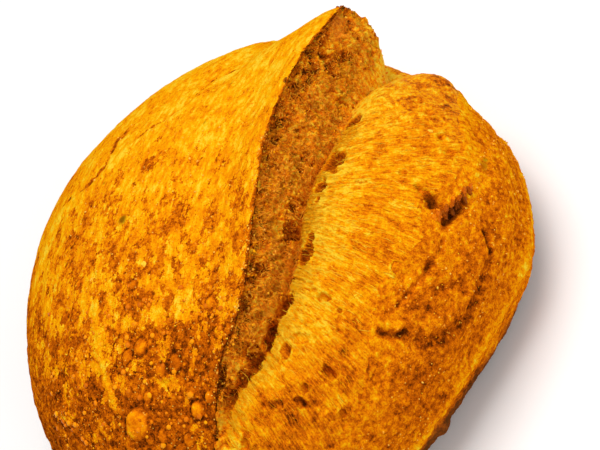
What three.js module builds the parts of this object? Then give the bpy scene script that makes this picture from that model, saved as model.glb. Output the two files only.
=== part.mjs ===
// Spelt sourdough loaf: one round, hand-shaped loaf with a single long score.
// Millimetres, +Z up. The score runs along X, the loaf rests on its flat base at z = 0, and
// the origin is the middle of the loaf's box on that base.
import * as THREE from 'three';
import { mergeVertices } from 'three/addons/utils/BufferGeometryUtils.js';

// ---- driving dimensions, in millimetres ----
const HALF_WIDTH = 117.5;       // plan radius at the belt, the widest level
const CROWN_HEIGHT = 108;       // height of the plain dome, without the ear
const BELT_HEIGHT = 41;         // height of the widest level
const FOOT_RADIUS = 92;         // radius of the flat base
const SHOULDER = 2.1;           // 2 is an ellipse, more is squarer at the shoulder
const RIM_HEIGHT = 31;          // height of the raised rim round the lower edge
const RIM_REACH = 4.5;          // half width of that rim
const RIM_SWELL = 1.3;          // how far the rim stands out
const NECK_ABOVE_RIM = 11;      // the shallow neck lies this far above the rim
const NECK_REACH = 7;
const NECK_SHARE = 0.7;         // the neck's depth as a share of the rim's swell
const TEAR_STEP = 1.6;          // the bloom stands this far above the side crust
const TEAR_SOFTNESS = 2.5;      // degrees over which that step falls away

// The hand-shaped plan is not a true circle: cosine and sine shares of 2, 3, 4 and 5 waves round it.
const PLAN_WAVES = [[0.0057, -0.0131], [-0.0101, 0.0023], [0.0002, 0.0067], [0.0163, 0.0011]];

// ---- the score ----
// Each list holds pairs: the angle along the loaf (-90 at the -X end, 90 at the +X end), and a value.
// "Round" angles turn about the X axis, from 0 straight up to 90 at the front (-Y).
const LIP_ROUND = [[-90, 33], [-66, 31.5], [-56, 28.5], [-47, 27.8], [-38, 30.4], [-29, 30.8], [-15, 29.3],
  [0, 28], [15, 27], [29, 28], [38, 30], [45, 32.5], [52, 36.5], [60, 42], [72, 45], [90, 45]];
const VALLEY_ROUND = [[-90, 40], [-66, 36], [-56, 32.5], [-47, 37], [-38, 39], [-15, 39], [0, 37.5],
  [15, 39], [29, 44], [38, 46], [45, 50], [52, 59], [60, 72], [72, 75], [90, 75]];
const TEAR_ROUND = [[-90, 80], [-40, 72], [-22, 65], [-11, 67], [-4, 70], [3, 67], [9, 71], [18, 75],
  [31, 75], [42, 82], [52, 90], [60, 97], [90, 100]];
// how far the ear's lip stands above the dome, and how far the valley lies under it
const EAR_RISE = [[-90, 0], [-66, 0], [-56, 1.5], [-29, 6], [0, 9], [29, 12], [45, 15.5], [54, 17],
  [62, 18], [70, 12.5], [78, 6.5], [86, 0], [90, 0]];
const VALLEY_DEPTH = [[-90, 0], [-66, 0], [-56, 2], [-29, 9], [0, 10], [29, 11], [45, 11], [56, 12.5],
  [64, 10.5], [72, 9.5], [82, 0], [90, 0]];
// degrees over which the torn crumb rises out of the valley
const VALLEY_SOFTNESS = [[-90, 5], [30, 5], [46, 7.5], [56, 9], [90, 9]];
// how far the ear's torn wall bulges, and over how many degrees the crust ramps up to the lip
const WALL_BULGE = [[-90, 0], [20, 0], [45, 2.5], [56, 3.5], [66, 8], [78, 2], [84, 0], [90, 0]];
const RAMP_REACH = [[-90, 12], [20, 12], [45, 15], [58, 26], [72, 24.5], [90, 24.5]];
const RAMP_POWER = 1.6;         // 1 is a pointed ramp, more is rounder near the lip
const BULGE_POWER = 0.88;       // under 1 moves the wall's bulge towards the lip
const LEAST_GAP = 4;            // degrees kept between lip and valley where the score fades out
const UNDERCUT = 0.1;           // the lip overhangs the wall by this share of the wall's width
const UNDERCUT_END = 2.2;       // the undercut ends at one over this part of the wall
const FULL_LIFT = 6;            // the undercut is whole where ear and valley together pass this

// Swells and hollows of the hand-shaped crust: along, round, reach along, reach round, height.
const SWELLS = [
  [44, 78, 16, 18, -2.2],
  [46, 75, 6, 7, 4.2],
  [-16, 94, 20, 14, -2.2],
  [-40, 108, 18, 12, -2.2],
  [6, 98, 12, 9, 1.6],
  [60, -12, 13, 13, -4],
  [-35, -75, 20, 16, -0.6],
  [20, -70, 22, 14, -1],
  [62, 70, 6, 6, -3],
  [-33, 107, 2, 3.5, 2.4],
  [45, -32, 14, 14, -1.4],
  [-28, 104, 14, 9, -0.9],
  [22, 95, 10, 9, -1.4],
  [2.5, 67.5, 4.5, 3.5, -5.0],    // the torn hole in the bloom
  [10, 73, 5, 3, 3.4],            // the lifted flap beside it
  [-22, 79, 9, 3, -2.6],          // the crevice in the side crust
  [-2, 78, 5, 2.5, -1.6],         // the crack above it
];

// ---- the grid ----
// Columns: base back, back crust, ear wall, bloom and front crust, base front. Rows run along X.
const COLUMNS = [4, 29, 9, 24, 4];
const ROWS = 66;
const FOOT_TRIES = 5;           // rounds of narrowing in on the foot's edge
const LEAST_BASE = 8;           // degrees the base keeps on each side where the foot runs out
const SIDE_ROUND = 118;         // the score's relief ends at this angle, low on the side
const FADE_ROUND = 20;          // and fades over this angle above it
const FADE_ALONG = 6;           // all relief fades over this angle next to the two ends
const MERGE_TOLERANCE = 1e-4;

const radians = THREE.MathUtils.degToRad;
const clamp = THREE.MathUtils.clamp;
const bell = (offset, reach) => Math.exp(-((offset / reach) ** 2));

/** Smooth curve through [angle, value] pairs, with level ends. */
function through(pairs, angle) {
  const at = clamp(angle, pairs[0][0], pairs[pairs.length - 1][0]);
  let i = 0;
  while (i < pairs.length - 2 && at >= pairs[i + 1][0]) i += 1;
  const slope = (k) => {
    if (k === 0 || k === pairs.length - 1) return 0;
    return (pairs[k + 1][1] - pairs[k - 1][1]) / (pairs[k + 1][0] - pairs[k - 1][0]);
  };
  const span = pairs[i + 1][0] - pairs[i][0];
  const t = (at - pairs[i][0]) / span;
  return pairs[i][1] * (1 + 2 * t) * (1 - t) ** 2 + slope(i) * span * t * (1 - t) ** 2
    + pairs[i + 1][1] * t * t * (3 - 2 * t) - slope(i + 1) * span * t * t * (1 - t);
}

/** How much wider or narrower than a circle the plan is in this direction. */
function planShare(x, y) {
  const turn = Math.atan2(y, x);
  return PLAN_WAVES.reduce((sum, [c, s], i) => (
    sum + c * Math.cos((i + 2) * turn) + s * Math.sin((i + 2) * turn)), 1);
}

/** Distance from the middle of the belt to the plain dome along a unit direction. */
function domeRadius(way) {
  const share = planShare(way.x, way.y);
  const wide = HALF_WIDTH * share;
  const foot = FOOT_RADIUS * share;
  const level = Math.hypot(way.x, way.y);
  const drop = Math.abs(way.z);
  if (way.z >= 0) {
    const sum = (level / wide) ** SHOULDER + (drop / (CROWN_HEIGHT - BELT_HEIGHT)) ** SHOULDER;
    return sum ** (-1 / SHOULDER);
  }
  const toBase = BELT_HEIGHT / drop;
  if (level * toBase <= foot) return toBase;
  // the rounded lower edge is a quarter ellipse from the foot to the belt
  const reach = wide - foot;
  const a = (level / reach) ** 2 + (drop / BELT_HEIGHT) ** 2;
  const b = -2 * level * foot / reach ** 2;
  const c = (foot / reach) ** 2 - 1;
  return (-b + Math.sqrt(Math.max(b * b - 4 * a * c, 0))) / (2 * a);
}

/** Point on the plain dome and the outward direction there. */
function domePoint(along, round) {
  const across = Math.cos(radians(along));
  const way = new THREE.Vector3(
    Math.sin(radians(along)),
    -across * Math.sin(radians(round)),
    across * Math.cos(radians(round)),
  );
  const point = way.multiplyScalar(domeRadius(way));
  const outward = new THREE.Vector3(
    point.x / HALF_WIDTH ** 2,
    point.y / HALF_WIDTH ** 2,
    point.z / (CROWN_HEIGHT - BELT_HEIGHT) ** 2,
  ).normalize();
  point.z += BELT_HEIGHT;
  return { point, outward };
}

/** Round angle of the foot's edge, the line where the base turns up into the crust. */
function footRound(along, side) {
  const across = Math.cos(radians(along));
  let round = Math.PI / 2;
  for (let i = 0; i < FOOT_TRIES; i += 1) {
    const foot = FOOT_RADIUS * planShare(Math.sin(radians(along)), -side * across * Math.sin(round));
    const fall = BELT_HEIGHT / Math.hypot(foot, BELT_HEIGHT);
    round = Math.PI - Math.acos(Math.min(1, fall / across));
  }
  return Math.min(THREE.MathUtils.radToDeg(round), 180 - LEAST_BASE);
}

/** Raised rim and shallow neck near the lower edge: how far the crust stands out at this height. */
function rimSwell(height) {
  const neck = bell(height - RIM_HEIGHT - NECK_ABOVE_RIM, NECK_REACH);
  return RIM_SWELL * (bell(height - RIM_HEIGHT, RIM_REACH) - NECK_SHARE * neck);
}

/** Relief of one place on the loaf. zone: 4 base back, 3 back crust, 2 ear wall, 1 front, 0 base front. */
function loafPoint(along, zone, share) {
  const lip = through(LIP_ROUND, along);
  const valley = Math.max(through(VALLEY_ROUND, along), lip + LEAST_GAP);
  const rise = through(EAR_RISE, along);
  const depth = through(VALLEY_DEPTH, along);
  const frontFoot = footRound(along, 1);
  const backFoot = footRound(along, -1);
  let round = 0;
  let relief = 0;
  if (zone === 4) {
    round = -180 + (180 - backFoot) * share;
  } else if (zone === 3) {
    round = -backFoot + (lip + backFoot) * share;
    const behindLip = Math.max(lip - round, 0) / through(RAMP_REACH, along);
    relief = rise * Math.exp(-(behindLip ** RAMP_POWER));
  } else if (zone === 2) {
    const lift = clamp((rise + depth) / FULL_LIFT, 0, 1);
    const undercut = UNDERCUT * lift * Math.sin(Math.PI * Math.min(1, share * UNDERCUT_END));
    round = lip + (valley - lip) * (share ** (1 + 0.5 * lift) - undercut);
    const bulge = through(WALL_BULGE, along) * Math.sin(Math.PI * share ** BULGE_POWER);
    relief = rise - (rise + depth) * share + bulge;
  } else if (zone === 1) {
    round = valley + (frontFoot - valley) * share;
    relief = -depth * Math.exp(-(round - valley) / through(VALLEY_SOFTNESS, along));
    const pastTear = (round - through(TEAR_ROUND, along)) / TEAR_SOFTNESS;
    const bloomRise = clamp((round - valley) / 20, 0, 1) * bell(along, 60);
    relief += TEAR_STEP * bloomRise / (1 + Math.exp(clamp(2 * pastTear, -30, 30)));
  } else {
    round = frontFoot + (180 - frontFoot) * share;
  }
  relief *= clamp((SIDE_ROUND - Math.abs(round)) / FADE_ROUND, 0, 1);
  for (const [a, r, reachAlong, reachRound, height] of SWELLS) {
    relief += height * bell(along - a, reachAlong) * bell(round - r, reachRound);
  }
  relief *= clamp((90 - Math.abs(along)) / FADE_ALONG, 0, 1);
  const { point, outward } = domePoint(along, round);
  point.addScaledVector(outward, relief);
  const level = Math.hypot(point.x, point.y);
  if (level > HALF_WIDTH / 2) {
    const wider = 1 + rimSwell(point.z) / level;
    point.x *= wider;
    point.y *= wider;
  }
  point.z = Math.max(point.z, 0);
  return point;
}

/** The loaf as one closed skin: a sphere's grid, its poles on X, every vertex put on the loaf. */
function makeLoafGeometry() {
  const total = COLUMNS.reduce((sum, count) => sum + count, 0);
  const geometry = new THREE.SphereGeometry(1, total, ROWS);
  const places = geometry.attributes.position;
  for (let i = 0; i < places.count; i += 1) {
    const row = Math.floor(i / (total + 1));
    let column = i - row * (total + 1);
    let part = 0;
    while (part < COLUMNS.length - 1 && column > COLUMNS[part]) {
      column -= COLUMNS[part];
      part += 1;
    }
    const along = 90 - 180 * row / ROWS;
    const share = column / COLUMNS[part];
    const point = loafPoint(along, COLUMNS.length - 1 - part, share);
    places.setXYZ(i, point.x, point.y, point.z);
  }
  geometry.deleteAttribute('normal');
  geometry.deleteAttribute('uv');
  const closed = mergeVertices(geometry, MERGE_TOLERANCE);
  closed.computeVertexNormals();
  return closed;
}

const crust = new THREE.MeshStandardMaterial({ color: 0xd37c12, roughness: 0.82, metalness: 0 });
const loaf = new THREE.Mesh(makeLoafGeometry(), crust);
loaf.name = 'loaf';

// stand the loaf with the middle of its box over the origin
const box = new THREE.Box3().setFromObject(loaf);
loaf.position.set(-(box.min.x + box.max.x) / 2, -(box.min.y + box.max.y) / 2, 0);

const group = new THREE.Group();
group.add(loaf);

export default group;
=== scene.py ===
"""Spelt sourdough loaf: floured crust with a raised ear, torn golden bloom, fibres and blisters."""

import bmesh
import bpy
import numpy as np
from mathutils import Matrix, Vector


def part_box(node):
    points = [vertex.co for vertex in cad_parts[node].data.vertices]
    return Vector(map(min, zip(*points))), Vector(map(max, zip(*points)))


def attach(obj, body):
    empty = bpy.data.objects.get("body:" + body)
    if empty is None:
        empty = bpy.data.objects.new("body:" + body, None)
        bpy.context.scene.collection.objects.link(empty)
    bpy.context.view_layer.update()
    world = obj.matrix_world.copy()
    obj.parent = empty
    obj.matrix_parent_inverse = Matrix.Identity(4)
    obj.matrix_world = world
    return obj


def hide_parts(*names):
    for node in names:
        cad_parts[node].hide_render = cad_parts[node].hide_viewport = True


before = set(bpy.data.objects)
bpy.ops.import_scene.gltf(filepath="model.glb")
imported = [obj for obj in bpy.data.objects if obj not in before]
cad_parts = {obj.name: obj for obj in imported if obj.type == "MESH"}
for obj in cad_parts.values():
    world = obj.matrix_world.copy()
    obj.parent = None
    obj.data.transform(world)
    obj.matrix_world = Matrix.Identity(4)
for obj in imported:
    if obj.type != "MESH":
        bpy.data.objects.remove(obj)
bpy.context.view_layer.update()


# ---------------------------------------------------------------- sizes, in millimetres and degrees
MM = 0.001
HALF_WIDTH = 117.5
CROWN_HEIGHT = 108.0
BELT_HEIGHT = 41.0
FOOT_RADIUS = 92.0
SHOULDER = 2.1
RIM_HEIGHT, RIM_REACH, RIM_SWELL = 31.0, 4.5, 1.3
NECK_ABOVE_RIM, NECK_REACH, NECK_SHARE = 11.0, 7.0, 0.7
TEAR_STEP, TEAR_SOFTNESS, STEP_END = 1.6, 2.5, 30.0
RAMP_POWER = 1.6
BULGE_POWER = 0.88
LEAST_GAP = 4.0
UNDERCUT, UNDERCUT_END = 0.10, 2.2
FULL_LIFT = 6.0
FOOT_TRIES = 5
LEAST_BASE = 8.0
SIDE_ROUND, FADE_ROUND, FADE_ALONG = 118.0, 20.0, 6.0
BLOOM_RISE, BLOOM_LENGTH = 20.0, 60.0
PLAN_WAVES = [(0.0057, -0.0131), (-0.0101, 0.0023), (0.0002, 0.0067), (0.0163, 0.0011)]

# Pairs of the angle along the loaf (-90 at -X, 90 at +X) and a value: a round angle or millimetres.
LIP_ROUND = [(-90, 33), (-66, 31.5), (-56, 28.5), (-47, 27.8), (-38, 30.4), (-29, 30.8), (-15, 29.3),
             (0, 28), (15, 27), (29, 28), (38, 30), (45, 32.5), (52, 36.5), (60, 42), (72, 45), (90, 45)]
VALLEY_ROUND = [(-90, 40), (-66, 36), (-56, 32.5), (-47, 37), (-38, 39), (-15, 39), (0, 37.5),
                (15, 39), (29, 44), (38, 46), (45, 50), (52, 59), (60, 72), (72, 75), (90, 75)]
TEAR_ROUND = [(-90, 80), (-40, 72), (-22, 65), (-11, 67), (-4, 70), (3, 67), (9, 71), (18, 75),
              (31, 75), (42, 82), (52, 90), (60, 97), (90, 100)]
EAR_RISE = [(-90, 0), (-66, 0), (-56, 1.5), (-29, 6), (0, 9), (29, 12), (45, 15.5), (54, 17),
            (62, 18), (70, 12.5), (78, 6.5), (86, 0), (90, 0)]
VALLEY_DEPTH = [(-90, 0), (-66, 0), (-56, 2), (-29, 9), (0, 10), (29, 11), (45, 11), (56, 12.5),
                (64, 10.5), (72, 9.5), (82, 0), (90, 0)]
WALL_BULGE = [(-90, 0), (20, 0), (45, 2.5), (56, 3.5), (66, 8), (78, 2), (84, 0), (90, 0)]
VALLEY_SOFTNESS = [(-90, 5), (30, 5), (46, 7.5), (56, 9), (90, 9)]
RAMP_REACH = [(-90, 12), (20, 12), (45, 15), (58, 26), (72, 24.5), (90, 24.5)]
# along, round, reach along, reach round, in degrees, and height in millimetres
SWELLS = [(44, 78, 16, 18, -2.2), (46, 75, 6, 7, 4.2), (-16, 94, 20, 14, -2.2), (-40, 108, 18, 12, -2.2),
          (6, 98, 12, 9, 1.6), (60, -12, 13, 13, -4), (-35, -75, 20, 16, -0.6), (20, -70, 22, 14, -1),
          (62, 70, 6, 6, -3), (-33, 107, 2, 3.5, 2.4), (45, -32, 14, 14, -1.4), (-28, 104, 14, 9, -0.9),
          (22, 95, 10, 9, -1.4)]


# ---------------------------------------------------------------- small tools
TOSS_CELL = np.array([374761393, 668265263, 1440662683])
TOSS_SEED, TOSS_LAST = 1274126177, 2246822519
TOSS_MASK, TOSS_RANGE = 0xFFFFFFFF, 0xFFFFFF
LATTICE_START = 100.5
WAVE_GAIN = 1.6
TALL_SEED, OCTAVE_SEED, SPOT_SEED, KIND_SEED = 7919, 31, 11, 57


def bell(offset, reach):
    """1 at offset 0, nearly 0 at twice the reach."""
    return np.exp(-(offset / reach) ** 2)


def ease(low, high, value):
    """0 up to low, 1 from high on, with a soft step between; it falls where low is the higher one."""
    share = np.clip((value - low) / (high - low), 0, 1)
    return share * share * (3 - 2 * share)


def through(pairs, angle):
    """Smooth curve through (angle, value) pairs, level at its ends."""
    at, value = np.array(pairs, float).T
    slope = np.zeros(len(at))
    slope[1:-1] = (value[2:] - value[:-2]) / (at[2:] - at[:-2])
    angle = np.clip(angle, at[0], at[-1])
    i = np.clip(np.searchsorted(at, angle, side="right") - 1, 0, len(at) - 2)
    span = at[i + 1] - at[i]
    t = (angle - at[i]) / span
    return (value[i] * (1 + 2 * t) * (1 - t) ** 2 + slope[i] * span * t * (1 - t) ** 2
            + value[i + 1] * t * t * (3 - 2 * t) - slope[i + 1] * span * t * t * (1 - t))


def toss(at, seed):
    """A repeatable number from 0 to 1 for each cell of a lattice."""
    h = (at @ TOSS_CELL + seed * TOSS_SEED) & TOSS_MASK
    h = ((h ^ (h >> 13)) * TOSS_SEED) & TOSS_MASK
    h = ((h ^ (h >> 15)) * TOSS_LAST) & TOSS_MASK
    return ((h ^ (h >> 16)) & TOSS_RANGE) / TOSS_RANGE


def waves(places, size, seed):
    """Gradient noise from about -1 to 1, with lumps about as wide as size."""
    q = places / size + LATTICE_START
    cell = np.floor(q).astype(np.int64)
    part = q - cell
    fade = part ** 3 * (part * (part * 6 - 15) + 10)
    total = np.zeros(len(q))
    for z, y, x in np.ndindex(2, 2, 2):
        step = np.array([x, y, z])
        at = cell + step
        turn = toss(at, seed) * 2 * np.pi
        tall = toss(at, seed + TALL_SEED) * 2 - 1
        flat = np.sqrt(1 - tall ** 2)
        away = part - step
        dot = away[:, 0] * flat * np.cos(turn) + away[:, 1] * flat * np.sin(turn) + away[:, 2] * tall
        weight = np.prod(np.where(step == 1, fade, 1 - fade), axis=1)
        total += dot * weight
    return total * WAVE_GAIN


def rough(places, size, seed, octaves=3, gain=0.5):
    """Waves, with ever finer and weaker ones added."""
    total = 0
    for k in range(octaves):
        total = total + waves(places, size / 2 ** k, seed + OCTAVE_SEED * k) * gain ** k
    return total


def cells(places, size, seed):
    """Nearest and next distance to scattered points, and a random number for the nearest one."""
    q = places / size + LATTICE_START
    cell = np.floor(q).astype(np.int64)
    first = np.full(len(q), 9.0)
    second = np.full(len(q), 9.0)
    kept = np.zeros(len(q))
    for step in np.ndindex(3, 3, 3):
        at = cell + np.array(step) - 1
        spot = np.stack([toss(at, seed + SPOT_SEED * k) for k in (1, 2, 3)], 1)
        far = np.linalg.norm(at + spot - q, axis=1)
        near = far < first
        second = np.where(near, first, np.minimum(second, far))
        kept = np.where(near, toss(at, seed + KIND_SEED), kept)
        first = np.where(near, far, first)
    return first * size, second * size, kept


# ---------------------------------------------------------------- the loaf's form
def plan_share(x, y):
    turn = np.arctan2(y, x)
    share = np.ones_like(turn)
    for k, (c, s) in enumerate(PLAN_WAVES, 2):
        share = share + c * np.cos(k * turn) + s * np.sin(k * turn)
    return share


def way_out(along, round_):
    a, r = np.radians(along), np.radians(round_)
    return np.stack([np.sin(a), -np.cos(a) * np.sin(r), np.cos(a) * np.cos(r)], -1)


def dome_point(along, round_):
    """Point on the plain dome and the outward direction there."""
    way = way_out(along, round_)
    share = plan_share(way[..., 0], way[..., 1])
    wide, foot = HALF_WIDTH * share, FOOT_RADIUS * share
    level, drop = np.hypot(way[..., 0], way[..., 1]), np.abs(way[..., 2])
    crown = ((level / wide) ** SHOULDER + (drop / (CROWN_HEIGHT - BELT_HEIGHT)) ** SHOULDER)
    crown = crown ** (-1 / SHOULDER)
    reach = wide - foot
    a = (level / reach) ** 2 + (drop / BELT_HEIGHT) ** 2
    b = -2 * level * foot / reach ** 2
    c = (foot / reach) ** 2 - 1
    edge = (-b + np.sqrt(np.maximum(b * b - 4 * a * c, 0))) / (2 * a)
    to_base = BELT_HEIGHT / np.maximum(drop, 1e-9)
    lower = np.where(level * to_base <= foot, to_base, edge)
    point = way * np.where(way[..., 2] >= 0, crown, lower)[..., None]
    outward = point / [HALF_WIDTH ** 2, HALF_WIDTH ** 2, (CROWN_HEIGHT - BELT_HEIGHT) ** 2]
    outward /= np.linalg.norm(outward, axis=-1, keepdims=True)
    return point + [0, 0, BELT_HEIGHT], outward


def foot_round(along, side):
    across = np.cos(np.radians(along))
    turn = np.full_like(across, np.pi / 2)
    for _ in range(FOOT_TRIES):
        foot = FOOT_RADIUS * plan_share(np.sin(np.radians(along)), -side * across * np.sin(turn))
        fall = BELT_HEIGHT / np.hypot(foot, BELT_HEIGHT)
        turn = np.pi - np.arccos(np.minimum(1, fall / np.maximum(across, 1e-9)))
    return np.minimum(np.degrees(turn), 180 - LEAST_BASE)


def stations(along):
    """Round angles of the named lines: base, back foot, lip, valley, tear, front foot, base."""
    lip = through(LIP_ROUND, along)
    valley = np.maximum(through(VALLEY_ROUND, along), lip + LEAST_GAP)
    tear = through(TEAR_ROUND, along)
    base = np.full_like(lip, 180.0)
    return [-base, -foot_round(along, -1), lip, valley, tear, foot_round(along, 1), base]


LIP, VALLEY, TEAR, FRONT_FOOT = 2, 3, 4, 5
FORM_ROWS, FORM_COLUMNS = 67, 241


def form(along, station):
    """A place on the loaf, its outward way and its round angle. station runs over the named lines."""
    lines = stations(along)
    lip, valley, tear = lines[LIP], lines[VALLEY], lines[TEAR]
    rise, depth = through(EAR_RISE, along), through(VALLEY_DEPTH, along)
    share = np.clip(station - LIP, 0, 1)
    lift = np.clip((rise + depth) / FULL_LIFT, 0, 1)
    undercut = UNDERCUT * lift * np.sin(np.pi * np.minimum(1, share * UNDERCUT_END))
    wall_round = lip + (valley - lip) * (share ** (1 + 0.5 * lift) - undercut)
    round_ = lines[0].copy()
    for k in range(6):
        part = np.clip(station - k, 0, 1)
        here = (station >= k) if k else np.ones_like(station, bool)
        between = wall_round if k == LIP else lines[k] + (lines[k + 1] - lines[k]) * part
        round_ = np.where(here, between, round_)
    behind = np.maximum(lip - round_, 0) / through(RAMP_REACH, along)
    back = rise * np.exp(-behind ** RAMP_POWER)
    wall = rise - (rise + depth) * share
    wall = wall + through(WALL_BULGE, along) * np.sin(np.pi * share ** BULGE_POWER)
    front = -depth * np.exp(-np.maximum(round_ - valley, 0) / through(VALLEY_SOFTNESS, along))
    bloom = np.clip((round_ - valley) / BLOOM_RISE, 0, 1) * bell(along, BLOOM_LENGTH)
    past = np.clip(2 * (round_ - tear) / TEAR_SOFTNESS, -STEP_END, STEP_END)
    front = front + TEAR_STEP * bloom / (1 + np.exp(past))
    relief = np.where(station < LIP, back, np.where(station < VALLEY, wall, front))
    relief = relief * np.clip((SIDE_ROUND - np.abs(round_)) / FADE_ROUND, 0, 1)
    for a, r, reach_a, reach_r, height in SWELLS:
        relief = relief + height * bell(along - a, reach_a) * bell(round_ - r, reach_r)
    relief = relief * np.clip((90 - np.abs(along)) / FADE_ALONG, 0, 1)
    place, outward = dome_point(along, round_)
    place = place + outward * relief[..., None]
    level = np.hypot(place[..., 0], place[..., 1])
    neck = NECK_SHARE * bell(place[..., 2] - RIM_HEIGHT - NECK_ABOVE_RIM, NECK_REACH)
    out = RIM_SWELL * (bell(place[..., 2] - RIM_HEIGHT, RIM_REACH) - neck)
    wider = 1 + np.where(level > HALF_WIDTH / 2, out / np.maximum(level, 1), 0)
    place = place * np.stack([wider, wider, np.ones_like(wider)], -1)
    place[..., 2] = np.maximum(place[..., 2], 0)
    return place, outward, round_


def loaf_shift():
    """From the form's own place to the CAD loaf's: the middle of its box is over the origin."""
    a, s = np.meshgrid(np.linspace(-90, 90, FORM_ROWS), np.linspace(0, 6, FORM_COLUMNS))
    place = form(a.ravel(), s.ravel())[0]
    middle = (place.min(0) + place.max(0)) / 2
    low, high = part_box("loaf")
    cad = (np.array(low) + np.array(high)) / 2 / MM
    return np.array([cad[0] - middle[0], cad[1] - middle[1], 0])


SHIFT = loaf_shift()


# ---------------------------------------------------------------- places on the loaf
MM_PER_DEGREE = 1.85
NUDGE = 0.05
STRAIGHT_REACH = 3.0
WEDGE_UP = 0.75


def from_spot(along, round_, spot_along, spot_round):
    """Millimetres along and around the loaf from a spot that is given in degrees."""
    across = MM_PER_DEGREE * np.cos(np.radians(spot_along))
    return (along - spot_along) * MM_PER_DEGREE, (round_ - spot_round) * across


def oval(along, round_, spot, turn=0.0):
    """How far out a place is in an oval spot (along, round, half length, half width): 1 at the edge."""
    x, y = from_spot(along, round_, spot[0], spot[1])
    c, s = np.cos(np.radians(turn)), np.sin(np.radians(turn))
    return np.hypot((x * c + y * s) / spot[2], (y * c - x * s) / spot[3])


def off_line(along, round_, points):
    """Millimetres from a line through (along, round) points, and 0 to 1 along it."""
    best = np.full(np.shape(along), 1e9)
    share = np.zeros(np.shape(along))
    for k, (start, end) in enumerate(zip(points[:-1], points[1:])):
        x, y = from_spot(along, round_, *start)
        ex, ey = from_spot(end[0], end[1], *start)
        t = np.clip((x * ex + y * ey) / (ex * ex + ey * ey), 0, 1)
        far = np.hypot(x - t * ex, y - t * ey)
        share = np.where(far < best, (k + t) / (len(points) - 1), share)
        best = np.minimum(best, far)
    return best, share


def skin(along, station):
    """Place, outward normal and round angle on the loaf's own surface. Down in the valley the normal
    turns to the dome's outward way, so that holes there go straight in."""
    place, outward, round_ = form(along, station)
    after, before = np.minimum(along + NUDGE, 90), np.maximum(along - NUDGE, -90)
    ahead = form(after, station)[0] - form(before, station)[0]
    aside = form(along, station + NUDGE / 20)[0] - form(along, station - NUDGE / 20)[0]
    normal = np.cross(aside, ahead)
    size = np.linalg.norm(normal, axis=-1, keepdims=True)
    normal = np.where(size > 1e-7, normal / np.maximum(size, 1e-12), outward)
    straight = bell(round_ - stations(along)[VALLEY], STRAIGHT_REACH)[..., None]
    normal = normal * (1 - straight) + outward * straight
    return place, normal / np.linalg.norm(normal, axis=-1, keepdims=True), round_


def torn_station(along, round_):
    """Station on the wall or the bloom of a place that is given by its round angle."""
    lines = stations(along)
    on_wall = LIP + (round_ - lines[LIP]) / (lines[VALLEY] - lines[LIP])
    on_bloom = VALLEY + (round_ - lines[VALLEY]) / (lines[TEAR] - lines[VALLEY])
    return np.where(round_ < lines[VALLEY], on_wall, on_bloom)


def inner_way(along, station, normal):
    """The way out of the loaf that a piece's hidden part sinks against: the normal, but under the lip
    the way out of the ear's thin wedge."""
    a, r = np.radians(along), np.radians(stations(along)[LIP])
    forward = np.stack([np.zeros_like(a), -np.cos(r), -np.sin(r)], -1)
    wedge = WEDGE_UP * way_out(along, np.degrees(r)) + np.sqrt(1 - WEDGE_UP ** 2) * forward
    share = (ease(LIP + 0.7, LIP + 0.15, station) * ease(LIP - 0.004, LIP, station))[..., None]
    way = normal * (1 - share) + wedge * share
    return way / np.linalg.norm(way, axis=-1, keepdims=True)


# ---------------------------------------------------------------- making pieces
SEAM_REACH = 1e-5


def closed_grid(name, columns, rows):
    """A grid rolled round the loaf's length and gathered at both ends, with each vertex's share
    around (0 to 1) and along (-1 to 1)."""
    bm = bmesh.new()
    bmesh.ops.create_grid(bm, x_segments=columns, y_segments=rows, size=1)
    mesh = bpy.data.meshes.new(name)
    bm.to_mesh(mesh)
    bm.free()
    flat = get_places(mesh)
    set_mark(mesh, "around", flat[:, 0] / 2 + 0.5)
    set_mark(mesh, "lengthwise", flat[:, 1])
    turn, rise = flat[:, 0] * np.pi, flat[:, 1] * np.pi / 2
    rolled = np.stack([np.sin(rise), -np.cos(rise) * np.sin(turn), np.cos(rise) * np.cos(turn)], 1)
    mesh.vertices.foreach_set("co", rolled.astype(np.float32).ravel())
    bm = bmesh.new()
    bm.from_mesh(mesh)
    rim = [v for v in bm.verts if v.is_boundary]
    bmesh.ops.remove_doubles(bm, verts=rim, dist=SEAM_REACH)
    bmesh.ops.recalc_face_normals(bm, faces=bm.faces)
    bm.to_mesh(mesh)
    bm.free()
    return mesh, get_mark(mesh, "around"), get_mark(mesh, "lengthwise")


def strewn(name, blank, doublings):
    """A mesh of many copies of a small blank, the places of one copy's vertices, and how many copies."""
    bm = bmesh.new()
    blank(bm)
    mesh = bpy.data.meshes.new(name)
    bm.to_mesh(mesh)
    bm.free()
    small = get_places(mesh)
    for _ in range(doublings):
        bm = bmesh.new()
        bm.from_mesh(mesh)
        bm.from_mesh(mesh)
        bm.to_mesh(mesh)
        bm.free()
    return mesh, small, 2 ** doublings


def get_places(mesh):
    co = np.empty(len(mesh.vertices) * 3, np.float32)
    mesh.vertices.foreach_get("co", co)
    return co.reshape(-1, 3).astype(float)


def set_places(mesh, places):
    mesh.vertices.foreach_set("co", ((places + SHIFT) * MM).astype(np.float32).ravel())
    mesh.update()


def get_mark(mesh, name):
    values = np.empty(len(mesh.vertices), np.float32)
    mesh.attributes[name].data.foreach_get("value", values)
    return values.astype(float)


def set_mark(mesh, name, values):
    mark = mesh.attributes.get(name) or mesh.attributes.new(name, "FLOAT", "POINT")
    mark.data.foreach_set("value", np.asarray(values, np.float32))


def set_map(mesh, name, flat):
    """A UV map from each vertex's flat place, in millimetres."""
    corner = np.empty(len(mesh.loops), np.int32)
    mesh.loops.foreach_get("vertex_index", corner)
    layer = mesh.uv_layers.new(name=name)
    layer.data.foreach_set("uv", (flat[corner] * MM).astype(np.float32).ravel())


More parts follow.
